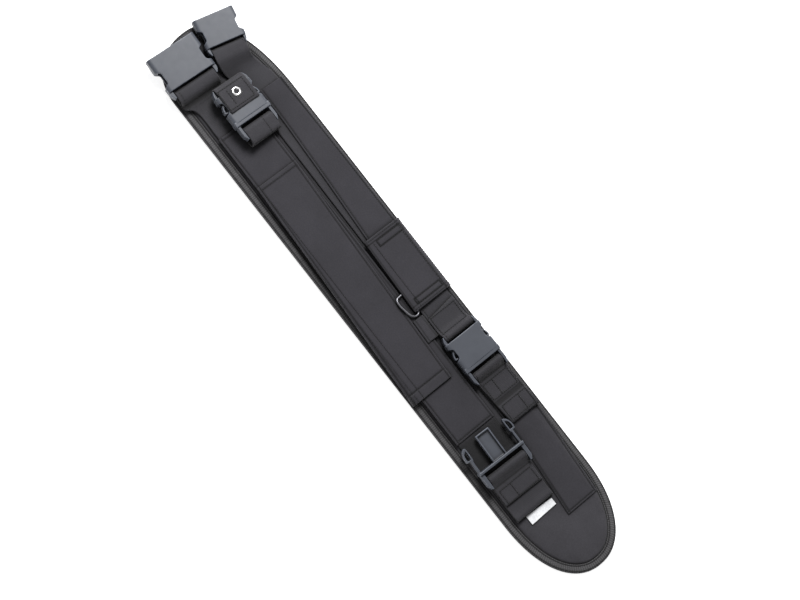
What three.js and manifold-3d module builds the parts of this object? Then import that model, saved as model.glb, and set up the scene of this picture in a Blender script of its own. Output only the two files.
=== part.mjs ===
// A padded pole support belt, laid flat with its front up. Millimetres, +X towards the round right end,
// +Y across it towards the upper edge, +Z up. The origin is under the middle of the belt.
import * as THREE from "three";
import { mergeVertices } from "three/addons/utils/BufferGeometryUtils.js";
import Module from "manifold-3d";

const wasm = await Module();
wasm.setup();

// Driving dimensions
const CLEAR = 0.3; // gap between pieces that touch
const WEBBING = 1.8; // thickness of webbing
const PANEL = 1.4; // thickness of the sewn panels
const PAD = { left: -356.5, right: 362, halfWidth: 58.5, top: 7.5 };
const PAD_END = { right: 97, upperLeft: 117, lowerLeft: 58, power: 2.2 }; // lengths of the rounded ends
const TAPE = { width: 9.5, thickness: 1, top: 5.8 }; // binding folded over the rim
// Two sizes of side-release buckle. A socket's lengths run from its mouth, a plug's from its mating face, and
// the prongs and tongue reach the other way. notch gives the cut in each side of the socket.
const WIDE = {
  webbing: 50,
  body: 60,
  arm: 29.8,
  thick: 13,
  socket: { body: 41, bar: 47, end: 50, notch: { at: 25.5, flat: 6.6, open: 9.6, deep: 5.4 } },
  plug: { bar: 12.4, end: 22, shoulder: 15.5, prong: 30.8, tongue: 33.2, half: 9, splay: 2.8 },
};
const NARROW = {
  webbing: 38,
  body: 47.6,
  arm: 22.8,
  thick: 11.5,
  socket: { body: 34, bar: 39.9, end: 42.5, notch: { at: 20.5, flat: 5.4, open: 8.2, deep: 4.6 } },
  plug: { bar: 11, end: 20, shoulder: 15.2, prong: 27, tongue: 29, half: 7, splay: 0 },
};
const WALL = 2.2; // a socket's faces
const PLATE = 3; // a plug's plate
const BAR = { half: 2, round: 1.8 }; // bars that webbing turns round
const TURN = 3.65; // radius of the webbing's middle round a bar

// Heights of each layer's middle, from the pad up
const FIRST = PAD.top + CLEAR + WEBBING / 2;
const SECOND = FIRST + WEBBING + CLEAR;
const THIRD = SECOND + WEBBING + CLEAR;
const PANEL_TOP = PAD.top + CLEAR + PANEL;
const BAND_TOP = PAD.top + WEBBING + PANEL + 2 * CLEAR;

const MATERIALS = {
  fabric: new THREE.MeshStandardMaterial({ color: 0x4c4a4f, roughness: 0.9, metalness: 0 }),
  binding: new THREE.MeshStandardMaterial({ color: 0x3e3d40, roughness: 0.95, metalness: 0 }),
  webbing: new THREE.MeshStandardMaterial({ color: 0x424146, roughness: 0.8, metalness: 0 }),
  buckle: new THREE.MeshStandardMaterial({ color: 0x6a6d74, roughness: 0.45, metalness: 0 }),
  ring: new THREE.MeshStandardMaterial({ color: 0x5a5b60, roughness: 0.4, metalness: 0.4 }),
  eyelet: new THREE.MeshStandardMaterial({ color: 0xdfe0e2, roughness: 0.3, metalness: 0.9 }),
  label: new THREE.MeshStandardMaterial({ color: 0xf2f2f2, roughness: 0.8, metalness: 0 }),
};

const belt = new THREE.Group();

function addNode(name, geometry, material, parent = belt) {
  const mesh = new THREE.Mesh(geometry, material);
  mesh.name = name;
  parent.add(mesh);
}

// Solids

function signedVolume(points, triangles) {
  let sum = 0;
  for (const [a, b, c] of triangles) {
    sum += points[a].dot(points[b].clone().cross(points[c]));
  }
  return sum / 6;
}

function closedGeometry(points, triangles) {
  const outward = signedVolume(points, triangles) > 0;
  const geometry = new THREE.BufferGeometry();
  geometry.setAttribute("position", new THREE.Float32BufferAttribute(points.flatMap((p) => p.toArray()), 3));
  geometry.setIndex(triangles.flatMap(([a, b, c]) => (outward ? [a, b, c] : [a, c, b])));
  return geometry;
}

// The end of a loft: a fan across a convex section, or a strip between a section's upper and lower rows.
function capTriangles(start, count, cap) {
  const face = [];
  if (cap === "fan") {
    for (let k = 1; k < count - 1; k++) face.push([start, start + k, start + k + 1]);
    return face;
  }
  for (let k = 0; k < count / 2 - 1; k++) {
    const [a, b, c, d] = [k, k + 1, count - 2 - k, count - 1 - k].map((n) => start + n);
    face.push([a, b, c], [a, c, d]);
  }
  return face;
}

// Joins sections, each a closed ring of points, with flat ends, or end to end where the loft is a hoop.
function loft(rings, { hoop = false, cap = "fan" } = {}) {
  const count = rings[0].length;
  const triangles = [];
  const spans = hoop ? rings.length : rings.length - 1;
  for (let i = 0; i < spans; i++) {
    const here = i * count;
    const next = ((i + 1) % rings.length) * count;
    for (let k = 0; k < count; k++) {
      const far = (k + 1) % count;
      triangles.push([here + k, next + k, next + far], [here + k, next + far, here + far]);
    }
  }
  if (!hoop) {
    triangles.push(...capTriangles(0, count, cap));
    triangles.push(...capTriangles((rings.length - 1) * count, count, cap).map(([a, b, c]) => [a, c, b]));
  }
  return closedGeometry(rings.flat(), triangles);
}

function toSolid(geometry) {
  const plain = geometry.clone();
  plain.deleteAttribute("normal");
  plain.deleteAttribute("uv");
  const merged = mergeVertices(plain, 1e-4);
  return new wasm.Manifold(
    new wasm.Mesh({
      numProp: 3,
      vertProperties: new Float32Array(merged.attributes.position.array),
      triVerts: new Uint32Array(merged.index.array),
    }),
  );
}

function toGeometry(solid) {
  const mesh = solid.getMesh();
  const geometry = new THREE.BufferGeometry();
  geometry.setAttribute("position", new THREE.BufferAttribute(new Float32Array(mesh.vertProperties), 3));
  geometry.setIndex([...mesh.triVerts]);
  return geometry;
}

function block(x0, x1, y0, y1, z0, z1) {
  const box = new THREE.BoxGeometry(x1 - x0, y1 - y0, z1 - z0);
  return toSolid(box.translate((x0 + x1) / 2, (y0 + y1) / 2, (z0 + z1) / 2));
}

function raise(outline, from, to, holes) {
  const shape = new THREE.Shape(outline.map(([a, b]) => new THREE.Vector2(a, b)));
  shape.holes = holes.map((hole) => new THREE.Path(hole.map(([a, b]) => new THREE.Vector2(a, b))));
  const geometry = new THREE.ExtrudeGeometry(shape, { depth: to - from, bevelEnabled: false });
  return geometry.translate(0, 0, from);
}

// An outline of [x, y], raised along Z.
function plate(outline, z0, z1, holes = []) {
  return toSolid(raise(outline, z0, z1, holes));
}

// An outline of [y, z], drawn along X.
function beam(outline, x0, x1) {
  const alongX = new THREE.Matrix4().makeBasis(
    new THREE.Vector3(0, 1, 0),
    new THREE.Vector3(0, 0, 1),
    new THREE.Vector3(1, 0, 0),
  );
  return toSolid(raise(outline, x0, x1, []).applyMatrix4(alongX));
}

const mirrored = (outline) => outline.map(([x, y]) => [x, -y]).reverse();

// Pad and binding

// The pad's outline, moved in by inset, as a closed ring of [x, y] that starts at its right tip.
function padOutline(inset) {
  const quarters = [
    { x: PAD.right - PAD_END.right, long: PAD_END.right, way: [1, 1], rising: true },
    { x: PAD.left + PAD_END.upperLeft, long: PAD_END.upperLeft, way: [-1, 1], rising: false },
    { x: PAD.left + PAD_END.lowerLeft, long: PAD_END.lowerLeft, way: [-1, -1], rising: true },
    { x: PAD.right - PAD_END.right, long: PAD_END.right, way: [1, -1], rising: false },
  ];
  const steps = 14;
  const power = 2 / PAD_END.power;
  const ring = [];
  for (const { x, long, way, rising } of quarters) {
    for (let i = 0; i <= steps; i++) {
      if (!rising && i === steps) continue; // the next quarter starts with this tip
      const angle = ((rising ? i : steps - i) / steps) * (Math.PI / 2);
      const along = Math.cos(angle) ** power * (long - inset);
      const across = Math.sin(angle) ** power * (PAD.halfWidth - inset);
      ring.push([x + way[0] * along, way[1] * across]);
    }
  }
  return ring;
}

const RIM = padOutline(0);

// How far a point lies inside the pad's edge.
function insetAt(x, y) {
  let nearest = Infinity;
  RIM.forEach(([ax, ay], i) => {
    const [bx, by] = RIM[(i + 1) % RIM.length];
    const length = (bx - ax) ** 2 + (by - ay) ** 2;
    const share = Math.min(1, Math.max(0, ((x - ax) * (bx - ax) + (y - ay) * (by - ay)) / length));
    nearest = Math.min(nearest, Math.hypot(x - ax - share * (bx - ax), y - ay - share * (by - ay)));
  });
  return nearest;
}

// The pad's section: its flat underside, the thin rim that the tape folds over, and its soft crown.
const PAD_SECTION = [
  { inset: 16, z: 0 },
  { inset: 11.5, z: 0.6 },
  { inset: 10, z: 1.9 },
  { inset: 2.2, z: 2.2 },
  { inset: 1.6, z: 3 },
  { inset: 2.2, z: 3.8 },
  { inset: 10, z: 4.4 },
  { inset: 11.5, z: 6.2 },
  { inset: 16, z: PAD.top },
];

// The binding's section: over the top, round the rim, under, and back along its inner face.
const TAPE_SECTION = [
  { inset: TAPE.width, z: TAPE.top },
  { inset: 5, z: 5.5 },
  { inset: 1.2, z: 4.9 },
  { inset: 0, z: 3 },
  { inset: 1.2, z: 1.1 },
  { inset: 5, z: 0.7 },
  { inset: TAPE.width, z: 0.5 },
  { inset: TAPE.width, z: 0.5 + TAPE.thickness },
  { inset: 2, z: 1.7 },
  { inset: 1.2, z: 3 },
  { inset: 2, z: 4.3 },
  { inset: TAPE.width, z: TAPE.top - TAPE.thickness },
];

const ringAt = ({ inset, z }) => padOutline(inset).map(([x, y]) => new THREE.Vector3(x, y, z));

// Panels that lie over what is under them

// Where the pad's crown is level, and the height over the binding.
const PLATEAU = { inset: 16, binding: 5.9 };
const DRAPE = { margin: 3.5, slope: 0.55 }; // a panel keeps a layer's height past its edge, then slopes down

function padTop(x, y) {
  const inset = insetAt(x, y);
  if (inset < TAPE.width) return PLATEAU.binding;
  const near = Math.min(inset, PLATEAU.inset);
  return THREE.MathUtils.mapLinear(near, TAPE.width, PLATEAU.inset, PLATEAU.binding, PAD.top);
}

// The height of what lies under a point: the pad, or a layer given by rows along X with low and high edges.
function restHeight(x, y, layers) {
  let height = padTop(x, y);
  for (const { rows, top } of layers) {
    const first = rows[0];
    const last = rows[rows.length - 1];
    const share = THREE.MathUtils.clamp((x - first.x) / (last.x - first.x), 0, 1);
    const low = THREE.MathUtils.lerp(first.low, last.low, share);
    const high = THREE.MathUtils.lerp(first.high, last.high, share);
    const outside = Math.hypot(Math.max(0, first.x - x, x - last.x), Math.max(0, low - y, y - high));
    height = Math.max(height, top - DRAPE.slope * Math.max(0, outside - DRAPE.margin));
  }
  return height;
}

// A panel from rows along X, laid on the layers under it. A hem raises its upper face past a given x.
function layPanel(rows, layers, hem = null) {
  const across = 16;
  const step = 30;
  const places = [];
  for (let i = 0; i < rows.length - 1; i++) {
    const pieces = Math.max(1, Math.round((rows[i + 1].x - rows[i].x) / step));
    for (let k = 0; k < pieces; k++) places.push({ row: i, share: k / pieces });
  }
  places.push({ row: rows.length - 2, share: 1 });
  const rings = places.map(({ row, share }) => {
    const [a, b] = [rows[row], rows[row + 1]];
    const [x, low, high] = ["x", "low", "high"].map((key) => THREE.MathUtils.lerp(a[key], b[key], share));
    const thickness = PANEL + (hem && x > hem.from ? hem.rise : 0);
    const lower = [];
    for (let k = 0; k <= across; k++) {
      const y = THREE.MathUtils.lerp(low, high, k / across);
      lower.push(new THREE.Vector3(x, y, restHeight(x, y, layers) + CLEAR));
    }
    const upper = lower.map((p) => new THREE.Vector3(p.x, p.y, p.z + thickness));
    return [...upper, ...lower.reverse()];
  });
  return loft(rings, { cap: "strip" });
}

// Webbing

// Where a buckle half lies: its mouth or mating face, the heading of its bar end, and its lean about
// that heading.
function placement(x, y, z, yawDegrees, rollDegrees = 0) {
  const yaw = THREE.MathUtils.degToRad(yawDegrees);
  const roll = THREE.MathUtils.degToRad(rollDegrees);
  const along = new THREE.Vector3(Math.cos(yaw), Math.sin(yaw), 0);
  const across = new THREE.Vector3(-Math.sin(yaw), Math.cos(yaw), 0).multiplyScalar(Math.cos(roll));
  across.z = Math.sin(roll);
  const up = along.clone().cross(across);
  const matrix = new THREE.Matrix4().makeBasis(along, across, up).setPosition(x, y, z);
  const station = (distance, height) => ({
    point: new THREE.Vector3(distance, 0, height).applyMatrix4(matrix),
    across,
  });
  return { z, matrix, station };
}

// A station of webbing on the belt, with the turn of its width about Z and its lean about X.
function stationAt(x, y, z, yawDegrees = 0, leanDegrees = 0) {
  const yaw = THREE.MathUtils.degToRad(yawDegrees);
  const lean = THREE.MathUtils.degToRad(leanDegrees);
  const level = Math.cos(yaw) * Math.cos(lean);
  const across = new THREE.Vector3(-Math.sin(yaw), level, Math.sin(lean)).normalize();
  return { point: new THREE.Vector3(x, y, z), across };
}

// Webbing through its stations. skew slants its first end, as a cut on the bias.
function webbing(stations, width, skew = 0) {
  const rings = stations.map(({ point, across }, i) => {
    const before = stations[Math.max(0, i - 1)].point;
    const after = stations[Math.min(stations.length - 1, i + 1)].point;
    const along = after.clone().sub(before);
    along.addScaledVector(across, -along.dot(across)).normalize();
    const up = along.clone().cross(across).normalize();
    const corner = (side, level) =>
      point
        .clone()
        .addScaledVector(across, (side * width) / 2)
        .addScaledVector(along, i === 0 ? side * skew : 0)
        .addScaledVector(up, (level * WEBBING) / 2);
    return [corner(-1, 1), corner(1, 1), corner(1, -1), corner(-1, -1)];
  });
  return loft(rings);
}

// The turn of webbing round a bar, from one angle to another in the buckle's frame.
function turnRound(place, barAt, barHeight, fromDegrees, toDegrees) {
  const steps = Math.round(Math.abs(toDegrees - fromDegrees) / 22.5);
  const stations = [];
  for (let i = 0; i <= steps; i++) {
    const angle = THREE.MathUtils.degToRad(THREE.MathUtils.lerp(fromDegrees, toDegrees, i / steps));
    stations.push(place.station(barAt + Math.cos(angle) * TURN, barHeight + Math.sin(angle) * TURN));
  }
  return stations;
}

// Distances from the bar at which webbing leaves it, settles on what is under it, and lies flat.
const LEAVE = { under: 3.2, settled: 6.4, crest: 8, flat: 11, droop: 0.9, rise: 1 };

// A sewn loop: from the webbing's short end, over the bar, down through the slot and back under the bar.
function sewnLoop(place, barAt, barHeight, { tip, tipHeight, run }) {
  const short = tipHeight - place.z;
  const level = run - place.z;
  const stations = [place.station(tip, short)];
  if (tip > barAt + LEAVE.flat + 3) stations.push(place.station(barAt + LEAVE.flat, short));
  stations.push(place.station(barAt + LEAVE.crest, short + LEAVE.rise));
  stations.push(...turnRound(place, barAt, barHeight, 45, 270));
  stations.push(place.station(barAt + LEAVE.under, Math.max(level, barHeight - TURN - LEAVE.droop)));
  stations.push(place.station(barAt + LEAVE.settled, level));
  return stations;
}

// A loop whose short end is hidden under the run: under the bar, round it, and down over the short end.
function tuckedLoop(place, barAt, barHeight, { tip, run, crown }) {
  const level = run - place.z;
  return [
    place.station(tip, level),
    place.station(barAt + LEAVE.settled, level),
    place.station(barAt + LEAVE.under, Math.max(level, barHeight - TURN - LEAVE.droop)),
    ...turnRound(place, barAt, barHeight, 270, 90),
    ...crown.map(({ beyond, height }) => place.station(barAt + beyond, height)),
  ];
}

// Side-release buckle

function barAcross(at, height, reach) {
  const { half, round } = BAR;
  const corner = 0.8;
  const quarter = [[half, round - corner], [half - corner, round]];
  const section = [
    ...quarter,
    ...quarter.map(([x, z]) => [-x, z]).reverse(),
    ...quarter.map(([x, z]) => [-x, -z]),
    ...quarter.map(([x, z]) => [x, -z]).reverse(),
  ];
  const rings = [-reach, reach].map((y) => section.map(([x, z]) => new THREE.Vector3(at + x, y, height + z)));
  return toSolid(loft(rings));
}

// Two arms that hold a bar, with their outer corners cut off.
function arms(size, from, end) {
  const half = 4;
  const cut = { long: 5, wide: 2.6 };
  const [inner, outer] = [size.webbing / 2 + 0.5, size.arm];
  const middle = size.thick / 2;
  const outline = [
    [from, inner],
    [end, inner],
    [end, outer - cut.wide],
    [end - cut.long, outer],
    [from, outer],
  ];
  const arm = plate(outline, middle - half, middle + half);
  return arm.add(plate(mirrored(outline), middle - half, middle + half));
}

function socket(size) {
  const half = size.body / 2;
  const flat = size.webbing / 2;
  const { thick } = size;
  const { body, bar, end, notch } = size.socket;
  const chamfer = 3.2;
  const hull = [
    [-half, chamfer],
    [-flat, 0],
    [flat, 0],
    [half, chamfer],
    [half, thick - chamfer],
    [flat, thick],
    [-flat, thick],
    [-half, thick - chamfer],
  ];
  const side = half - chamfer;
  const back = 2.5;
  let solid = beam(hull, 0, body);
  solid = solid.subtract(block(-1, body - back, -side, side, WALL, thick - WALL));
  const cut = [
    [notch.at - notch.flat, half - notch.deep],
    [notch.at + notch.flat, half - notch.deep],
    [notch.at + notch.open, half + 1],
    [notch.at - notch.open, half + 1],
  ];
  for (const outline of [cut, mirrored(cut)]) {
    solid = solid.subtract(plate(outline, -1, thick + 1));
  }
  solid = solid.add(arms(size, body - 0.5, end));
  return solid.add(barAcross(bar, thick / 2, flat + 1));
}

function plug(size) {
  const half = size.body / 2;
  const middle = size.thick / 2;
  const rim = 0.6;
  const { bar, end, shoulder, prong, tongue } = size.plug;
  let solid = block(0, PLATE, rim - half, half - rim, rim, size.thick - rim);
  solid = solid.add(arms(size, 0.5, end)).add(barAcross(bar, middle, size.webbing / 2 + 1));
  // Tongue: a channel with a raised rim
  const deep = 2.4;
  const floor = 0.6;
  const wall = 1.7;
  const wide = size.plug.half;
  solid = solid.add(block(-tongue, 0.5, -wide, wide, middle - deep, middle + deep));
  const hollow = wide - wall;
  solid = solid.subtract(block(wall - tongue, -0.01, -hollow, hollow, middle - floor, middle + deep + 1));
  // Prongs: a thin arm with a hollow barbed head
  const arm = half - 4.9 + size.plug.splay;
  const head = [
    [-shoulder + 2, arm - 1.2],
    [-shoulder, arm - 2.6],
    [-prong + 2, arm - 2.6],
    [-prong, arm - 1.4],
    [-prong + 2.2, arm + 2.2],
    [-prong + 6, arm + 4.2],
    [-prong + 10, arm + 5],
    [-shoulder, arm + 4.8],
    [-shoulder + 0.6, arm + 1.2],
    [-shoulder + 2, arm + 1.2],
  ];
  const hole = [
    [-prong + 3.4, arm - 1],
    [-shoulder - 1.4, arm - 1],
    [-shoulder - 1.4, arm + 3.2],
    [-prong + 9.6, arm + 3.3],
    [-prong + 5.8, arm + 2.4],
  ];
  const stem = [
    [-shoulder + 1.6, arm - 1.2],
    [0.5, arm - 1.2],
    [0.5, arm + 1.2],
    [-shoulder + 1.6, arm + 1.2],
  ];
  const thick = 3;
  for (const turned of [(outline) => outline, mirrored]) {
    solid = solid.add(plate(turned(stem), middle - thick, middle + thick));
    solid = solid.add(plate(turned(head), middle - thick, middle + thick, [turned(hole)]));
  }
  return solid;
}

function groupAt(place) {
  const group = new THREE.Group();
  group.applyMatrix4(place.matrix);
  belt.add(group);
  return group;
}

// Where each piece lies

const WAIST = { y: -20.2, foldX: 267.4, foldY: -21.2 }; // the waist strap's line along the pad
const WAIST_SOCKET = placement(-349.6, -28.4, PAD.top + 2 * CLEAR, -2);
const WAIST_PLUG = placement(204.6, -19.4, 9, -1.6);
const UPPER = { y: 28.8, start: -262, end: -57.5 };
const UPPER_SOCKET = placement(-352.8, 31.4, PAD.top + 2 * CLEAR, -11.5);
const MIDDLE = { x: 111.4, y: 31.2, z: PANEL_TOP + CLEAR, drift: 3.6 };
const MIDDLE_SOCKET = placement(MIDDLE.x, MIDDLE.y, MIDDLE.z, 180);
const MIDDLE_PLUG = placement(MIDDLE.x + CLEAR, MIDDLE.y, MIDDLE.z, 0);
const TAB = { x: -240.7, y: -4.9, z: 13.7, lean: 8 };
const TAB_SOCKET = placement(TAB.x, TAB.y, TAB.z, 180, TAB.lean);
const TAB_PLUG = placement(TAB.x + CLEAR, TAB.y, TAB.z, 0, -TAB.lean);

// Crowns of the two loops at the open sockets: distances beyond the bar and heights in the buckle's frame
const WAIST_CROWN = [
  { beyond: 5.6, height: 9.8 },
  { beyond: 9, height: 8.8 },
  { beyond: 11.6, height: 5.9 },
  { beyond: 13.8, height: 3.5 },
  { beyond: 16.6, height: 2.7 },
];
const UPPER_CROWN = [
  { beyond: 5, height: 9.4 },
  { beyond: 11, height: 8.8 },
];

const WAIST_STRAP_ROWS = [
  { x: -300, low: -45.6, high: 5 },
  { x: 270, low: -46, high: 4.8 },
];
const UPPER_STRAP_ROWS = [
  { x: -262, low: 9.8, high: 47.8 },
  { x: UPPER.end, low: 9.8, high: 47.8 },
];
const LOWER_BAND = [
  { x: -240.7, low: -46.2, high: 5.8 },
  { x: 167.2, low: -46.5, high: 5.5 },
];
const LOWER_SLEEVE = [
  { x: -175.7, low: -46.4, high: 5.6 },
  { x: 95.4, low: -57.2, high: -5.2 },
  { x: 96, low: -57.2, high: -5.2 },
  { x: 106.5, low: -57.6, high: -5.6 },
];
const SLEEVE_HEM = { from: 95.8, rise: 1.1 };
const UPPER_BAND_LEFT = [
  { x: -256.7, low: 22.4, high: 51.7 },
  { x: -214, low: 22, high: 52.8 },
  { x: -134, low: 18.6, high: 54 },
  { x: -59.6, low: 14.1, high: 54 },
];
const UPPER_BAND_RIGHT = [
  { x: -56.4, low: 14.8, high: 54.7 },
  { x: 57.5, low: 13.7, high: 54.1 },
  { x: 186.4, low: 11.9, high: 53 },
  { x: 228, low: 9.6, high: 50.7 },
  { x: 298.6, low: 3.9, high: 45.6 },
];
const KEEPER = { left: -61.8, right: 29.8, low: 9.2, high: 57.2, lowCeiling: 13, ceiling: 12.2, wall: 1.2 };
// The keeper's lower edge comes down and rises over the ring to the right.
const KEEPER_SLANT = { drop: 3.5, lift: 1.2 };
const RING = { wire: 1.15, corners: 32, sides: 8, inner: { y: 12, z: 10.7 }, slope: -0.31 };
const RING_PATH = [
  { x: 9, y: 10.4 },
  { x: 6.6, y: 8.6 },
  { x: 6.3, y: 3 },
  { x: 7.4, y: -1.6 },
  { x: 11.5, y: -3.2 },
  { x: 23, y: -1.8 },
  { x: 30.6, y: 0.6 },
  { x: 34.3, y: 4.2 },
  { x: 34.3, y: 9 },
  { x: 31.6, y: 10.3 },
  { x: 20.5, y: 10.5 },
];
const RING_TAB = [
  { x: 36.2, low: -2, high: 11.8 },
  { x: 64, low: -3, high: 11.7 },
];
const EYELET = { along: 28.3, hole: 2.5, barrel: 3.3, flange: 5.4, sides: 16 };
const LABEL = {
  low: { y: -34.5, left: 270.6, right: 282.2 },
  high: { y: 0.3, left: 273.2, right: 281.4 },
  thickness: 1,
};

// Pieces

function addPad() {
  addNode("pad", loft(PAD_SECTION.map(ringAt)), MATERIALS.fabric);
  addNode("edge_binding", loft(TAPE_SECTION.map(ringAt), { hoop: true }), MATERIALS.binding);
}

// The waist strap's fold at its right end, where it turns back over itself.
function foldStations() {
  const bulge = { out: 2.3, up: 1.6 };
  const stations = [stationAt(WAIST.foldX - 7, WAIST.foldY, FIRST)];
  for (const degrees of [-90, -60, -30, 0, 30, 60, 90]) {
    const angle = THREE.MathUtils.degToRad(degrees);
    const x = WAIST.foldX + Math.cos(angle) * bulge.out;
    stations.push(stationAt(x, WAIST.foldY, FIRST + bulge.up * (1 + Math.sin(angle))));
  }
  stations.push(stationAt(WAIST.foldX - 7, WAIST.foldY, SECOND));
  return stations;
}

function addWaistRow() {
  const barHeight = WIDE.thick / 2;
  const socketLevels = { tip: 62, run: FIRST, crown: WAIST_CROWN };
  const plugLevels = { tip: 45.6, tipHeight: THIRD, run: SECOND };
  const stations = [
    ...tuckedLoop(WAIST_SOCKET, WIDE.socket.bar, barHeight, socketLevels),
    stationAt(-280, WAIST.y - 2, FIRST),
    stationAt(-240, WAIST.y, FIRST),
    stationAt(167, WAIST.y, FIRST),
    ...foldStations(),
    ...sewnLoop(WAIST_PLUG, WIDE.plug.bar, barHeight, plugLevels).reverse(),
  ];
  addNode("waist_strap", webbing(stations, WIDE.webbing), MATERIALS.webbing);
  addNode("waist_buckle_socket", toGeometry(socket(WIDE)), MATERIALS.buckle, groupAt(WAIST_SOCKET));
  addNode("waist_buckle_plug", toGeometry(plug(WIDE)), MATERIALS.buckle, groupAt(WAIST_PLUG));
  const overStrap = [{ rows: WAIST_STRAP_ROWS, top: FIRST + WEBBING / 2 }];
  addNode("lower_band", layPanel(LOWER_BAND, overStrap), MATERIALS.webbing);
  const overBand = [{ rows: LOWER_BAND, top: BAND_TOP }];
  addNode("lower_sleeve", layPanel(LOWER_SLEEVE, overBand, SLEEVE_HEM), MATERIALS.webbing);
}

function addUpperRow() {
  const levels = { tip: 60, run: FIRST, crown: UPPER_CROWN };
  const stations = [
    ...tuckedLoop(UPPER_SOCKET, NARROW.socket.bar, NARROW.thick / 2, levels),
    stationAt(-291.5, 21.4, FIRST + 2.4, -5),
    stationAt(-284, 23.4, FIRST + 0.4, -4),
    stationAt(-274, 26.8, FIRST, -2),
    stationAt(UPPER.start, UPPER.y, FIRST),
    stationAt(UPPER.end, UPPER.y, FIRST),
  ];
  addNode("upper_strap", webbing(stations, NARROW.webbing), MATERIALS.webbing);
  addNode("upper_buckle_socket", toGeometry(socket(NARROW)), MATERIALS.buckle, groupAt(UPPER_SOCKET));
  const overStrap = [{ rows: UPPER_STRAP_ROWS, top: FIRST + WEBBING / 2 }];
  addNode("upper_band_left", layPanel(UPPER_BAND_LEFT, overStrap), MATERIALS.fabric);
  addNode("upper_band_right", layPanel(UPPER_BAND_RIGHT, []), MATERIALS.fabric);
}

// The keeper lies over the upper row. Its lower edge is free and slants, and its upper edge comes down on the
// binding.
function addKeeper() {
  const { left, right, low, high, lowCeiling, ceiling, wall } = KEEPER;
  const foot = TAPE.top + CLEAR;
  const section = [
    [low, lowCeiling],
    [high - 3.2, ceiling],
    [high - wall, ceiling - 1.7],
    [high - wall, foot],
    [high, foot],
    [high, ceiling - 1.2],
    [high - 2.6, ceiling + PANEL],
    [low + 1, lowCeiling + PANEL],
    [low, lowCeiling + PANEL - 0.5],
  ];
  const geometry = toGeometry(beam(section, left, right));
  const places = geometry.attributes.position;
  for (let i = 0; i < places.count; i++) {
    const along = THREE.MathUtils.inverseLerp(left, right, places.getX(i));
    const fromHigh = THREE.MathUtils.inverseLerp(high, low, places.getY(i));
    places.setY(i, places.getY(i) - KEEPER_SLANT.drop * along * fromHigh);
    places.setZ(i, places.getZ(i) + KEEPER_SLANT.lift * along * fromHigh);
  }
  addNode("keeper_sleeve", geometry, MATERIALS.webbing);
}

function addRing() {
  const { inner, slope } = RING;
  const corners = RING_PATH.map(({ x, y }) => new THREE.Vector3(x, y, inner.z + slope * (y - inner.y)));
  const curve = new THREE.CatmullRomCurve3(corners, true, "centripetal");
  const rings = [];
  for (let i = 0; i < RING.corners; i++) {
    const share = i / RING.corners;
    const centre = curve.getPointAt(share);
    const heading = curve.getTangentAt(share);
    const outward = new THREE.Vector3(heading.y, -heading.x, 0).normalize();
    const section = [];
    for (let k = 0; k < RING.sides; k++) {
      const angle = (k / RING.sides) * Math.PI * 2;
      const point = centre.clone().addScaledVector(outward, Math.cos(angle) * RING.wire);
      point.z += Math.sin(angle) * RING.wire;
      section.push(point);
    }
    rings.push(section);
  }
  addNode("d_ring", loft(rings, { hoop: true }), MATERIALS.ring);
  const overBand = [{ rows: LOWER_BAND, top: BAND_TOP }];
  addNode("ring_tab", layPanel(RING_TAB, overBand), MATERIALS.webbing);
}

function addMiddleBuckle() {
  const barHeight = NARROW.thick / 2;
  const run = PANEL_TOP + CLEAR + WEBBING / 2;
  const tipHeight = run + WEBBING + CLEAR;
  const leftStrap = [
    ...sewnLoop(MIDDLE_SOCKET, NARROW.socket.bar, barHeight, { tip: 69.4, tipHeight, run }),
    stationAt(14, MIDDLE.y, run, 180),
  ];
  addNode("middle_strap_left", webbing(leftStrap, NARROW.webbing, 2.6), MATERIALS.webbing);
  addNode("middle_buckle_socket", toGeometry(socket(NARROW)), MATERIALS.buckle, groupAt(MIDDLE_SOCKET));
  addNode("middle_buckle_plug", toGeometry(plug(NARROW)), MATERIALS.buckle, groupAt(MIDDLE_PLUG));
  const rightStrap = [
    ...sewnLoop(MIDDLE_PLUG, NARROW.plug.bar, barHeight, { tip: 73.8, tipHeight, run }),
    stationAt(186.4, MIDDLE.y, run),
  ];
  // Past the buckle this strap runs a little askew
  const straight = MIDDLE.x + NARROW.plug.end;
  for (const { point } of rightStrap) {
    point.y += MIDDLE.drift * Math.max(0, THREE.MathUtils.inverseLerp(straight, 186.4, point.x));
  }
  addNode("middle_strap_right", webbing(rightStrap, NARROW.webbing), MATERIALS.webbing);
}

// The pole loop's strap: sewn down on the band, up in a curl, over the plug's bar and back under it.
function tabStrapStations() {
  const foot = BAND_TOP + CLEAR + WEBBING / 2;
  const curl = { x: -217.8, radius: 4.6 };
  const stations = [stationAt(curl.x - 2.4, TAB.y, foot)];
  for (const degrees of [-90, -60, -30, 0, 30, 60, 90]) {
    const angle = THREE.MathUtils.degToRad(degrees);
    const share = (degrees + 90) / 180;
    const x = curl.x + Math.cos(angle) * curl.radius;
    const y = TAB.y + share * 1.3;
    stations.push(stationAt(x, y, foot + curl.radius * (1 + Math.sin(angle)), 0, -TAB.lean * share));
  }
  const barHeight = NARROW.thick / 2;
  stations.push(...turnRound(TAB_PLUG, NARROW.plug.bar, barHeight, 90, 270));
  stations.push(TAB_PLUG.station(NARROW.plug.bar + LEAVE.under, barHeight - TURN));
  return stations;
}

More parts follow.
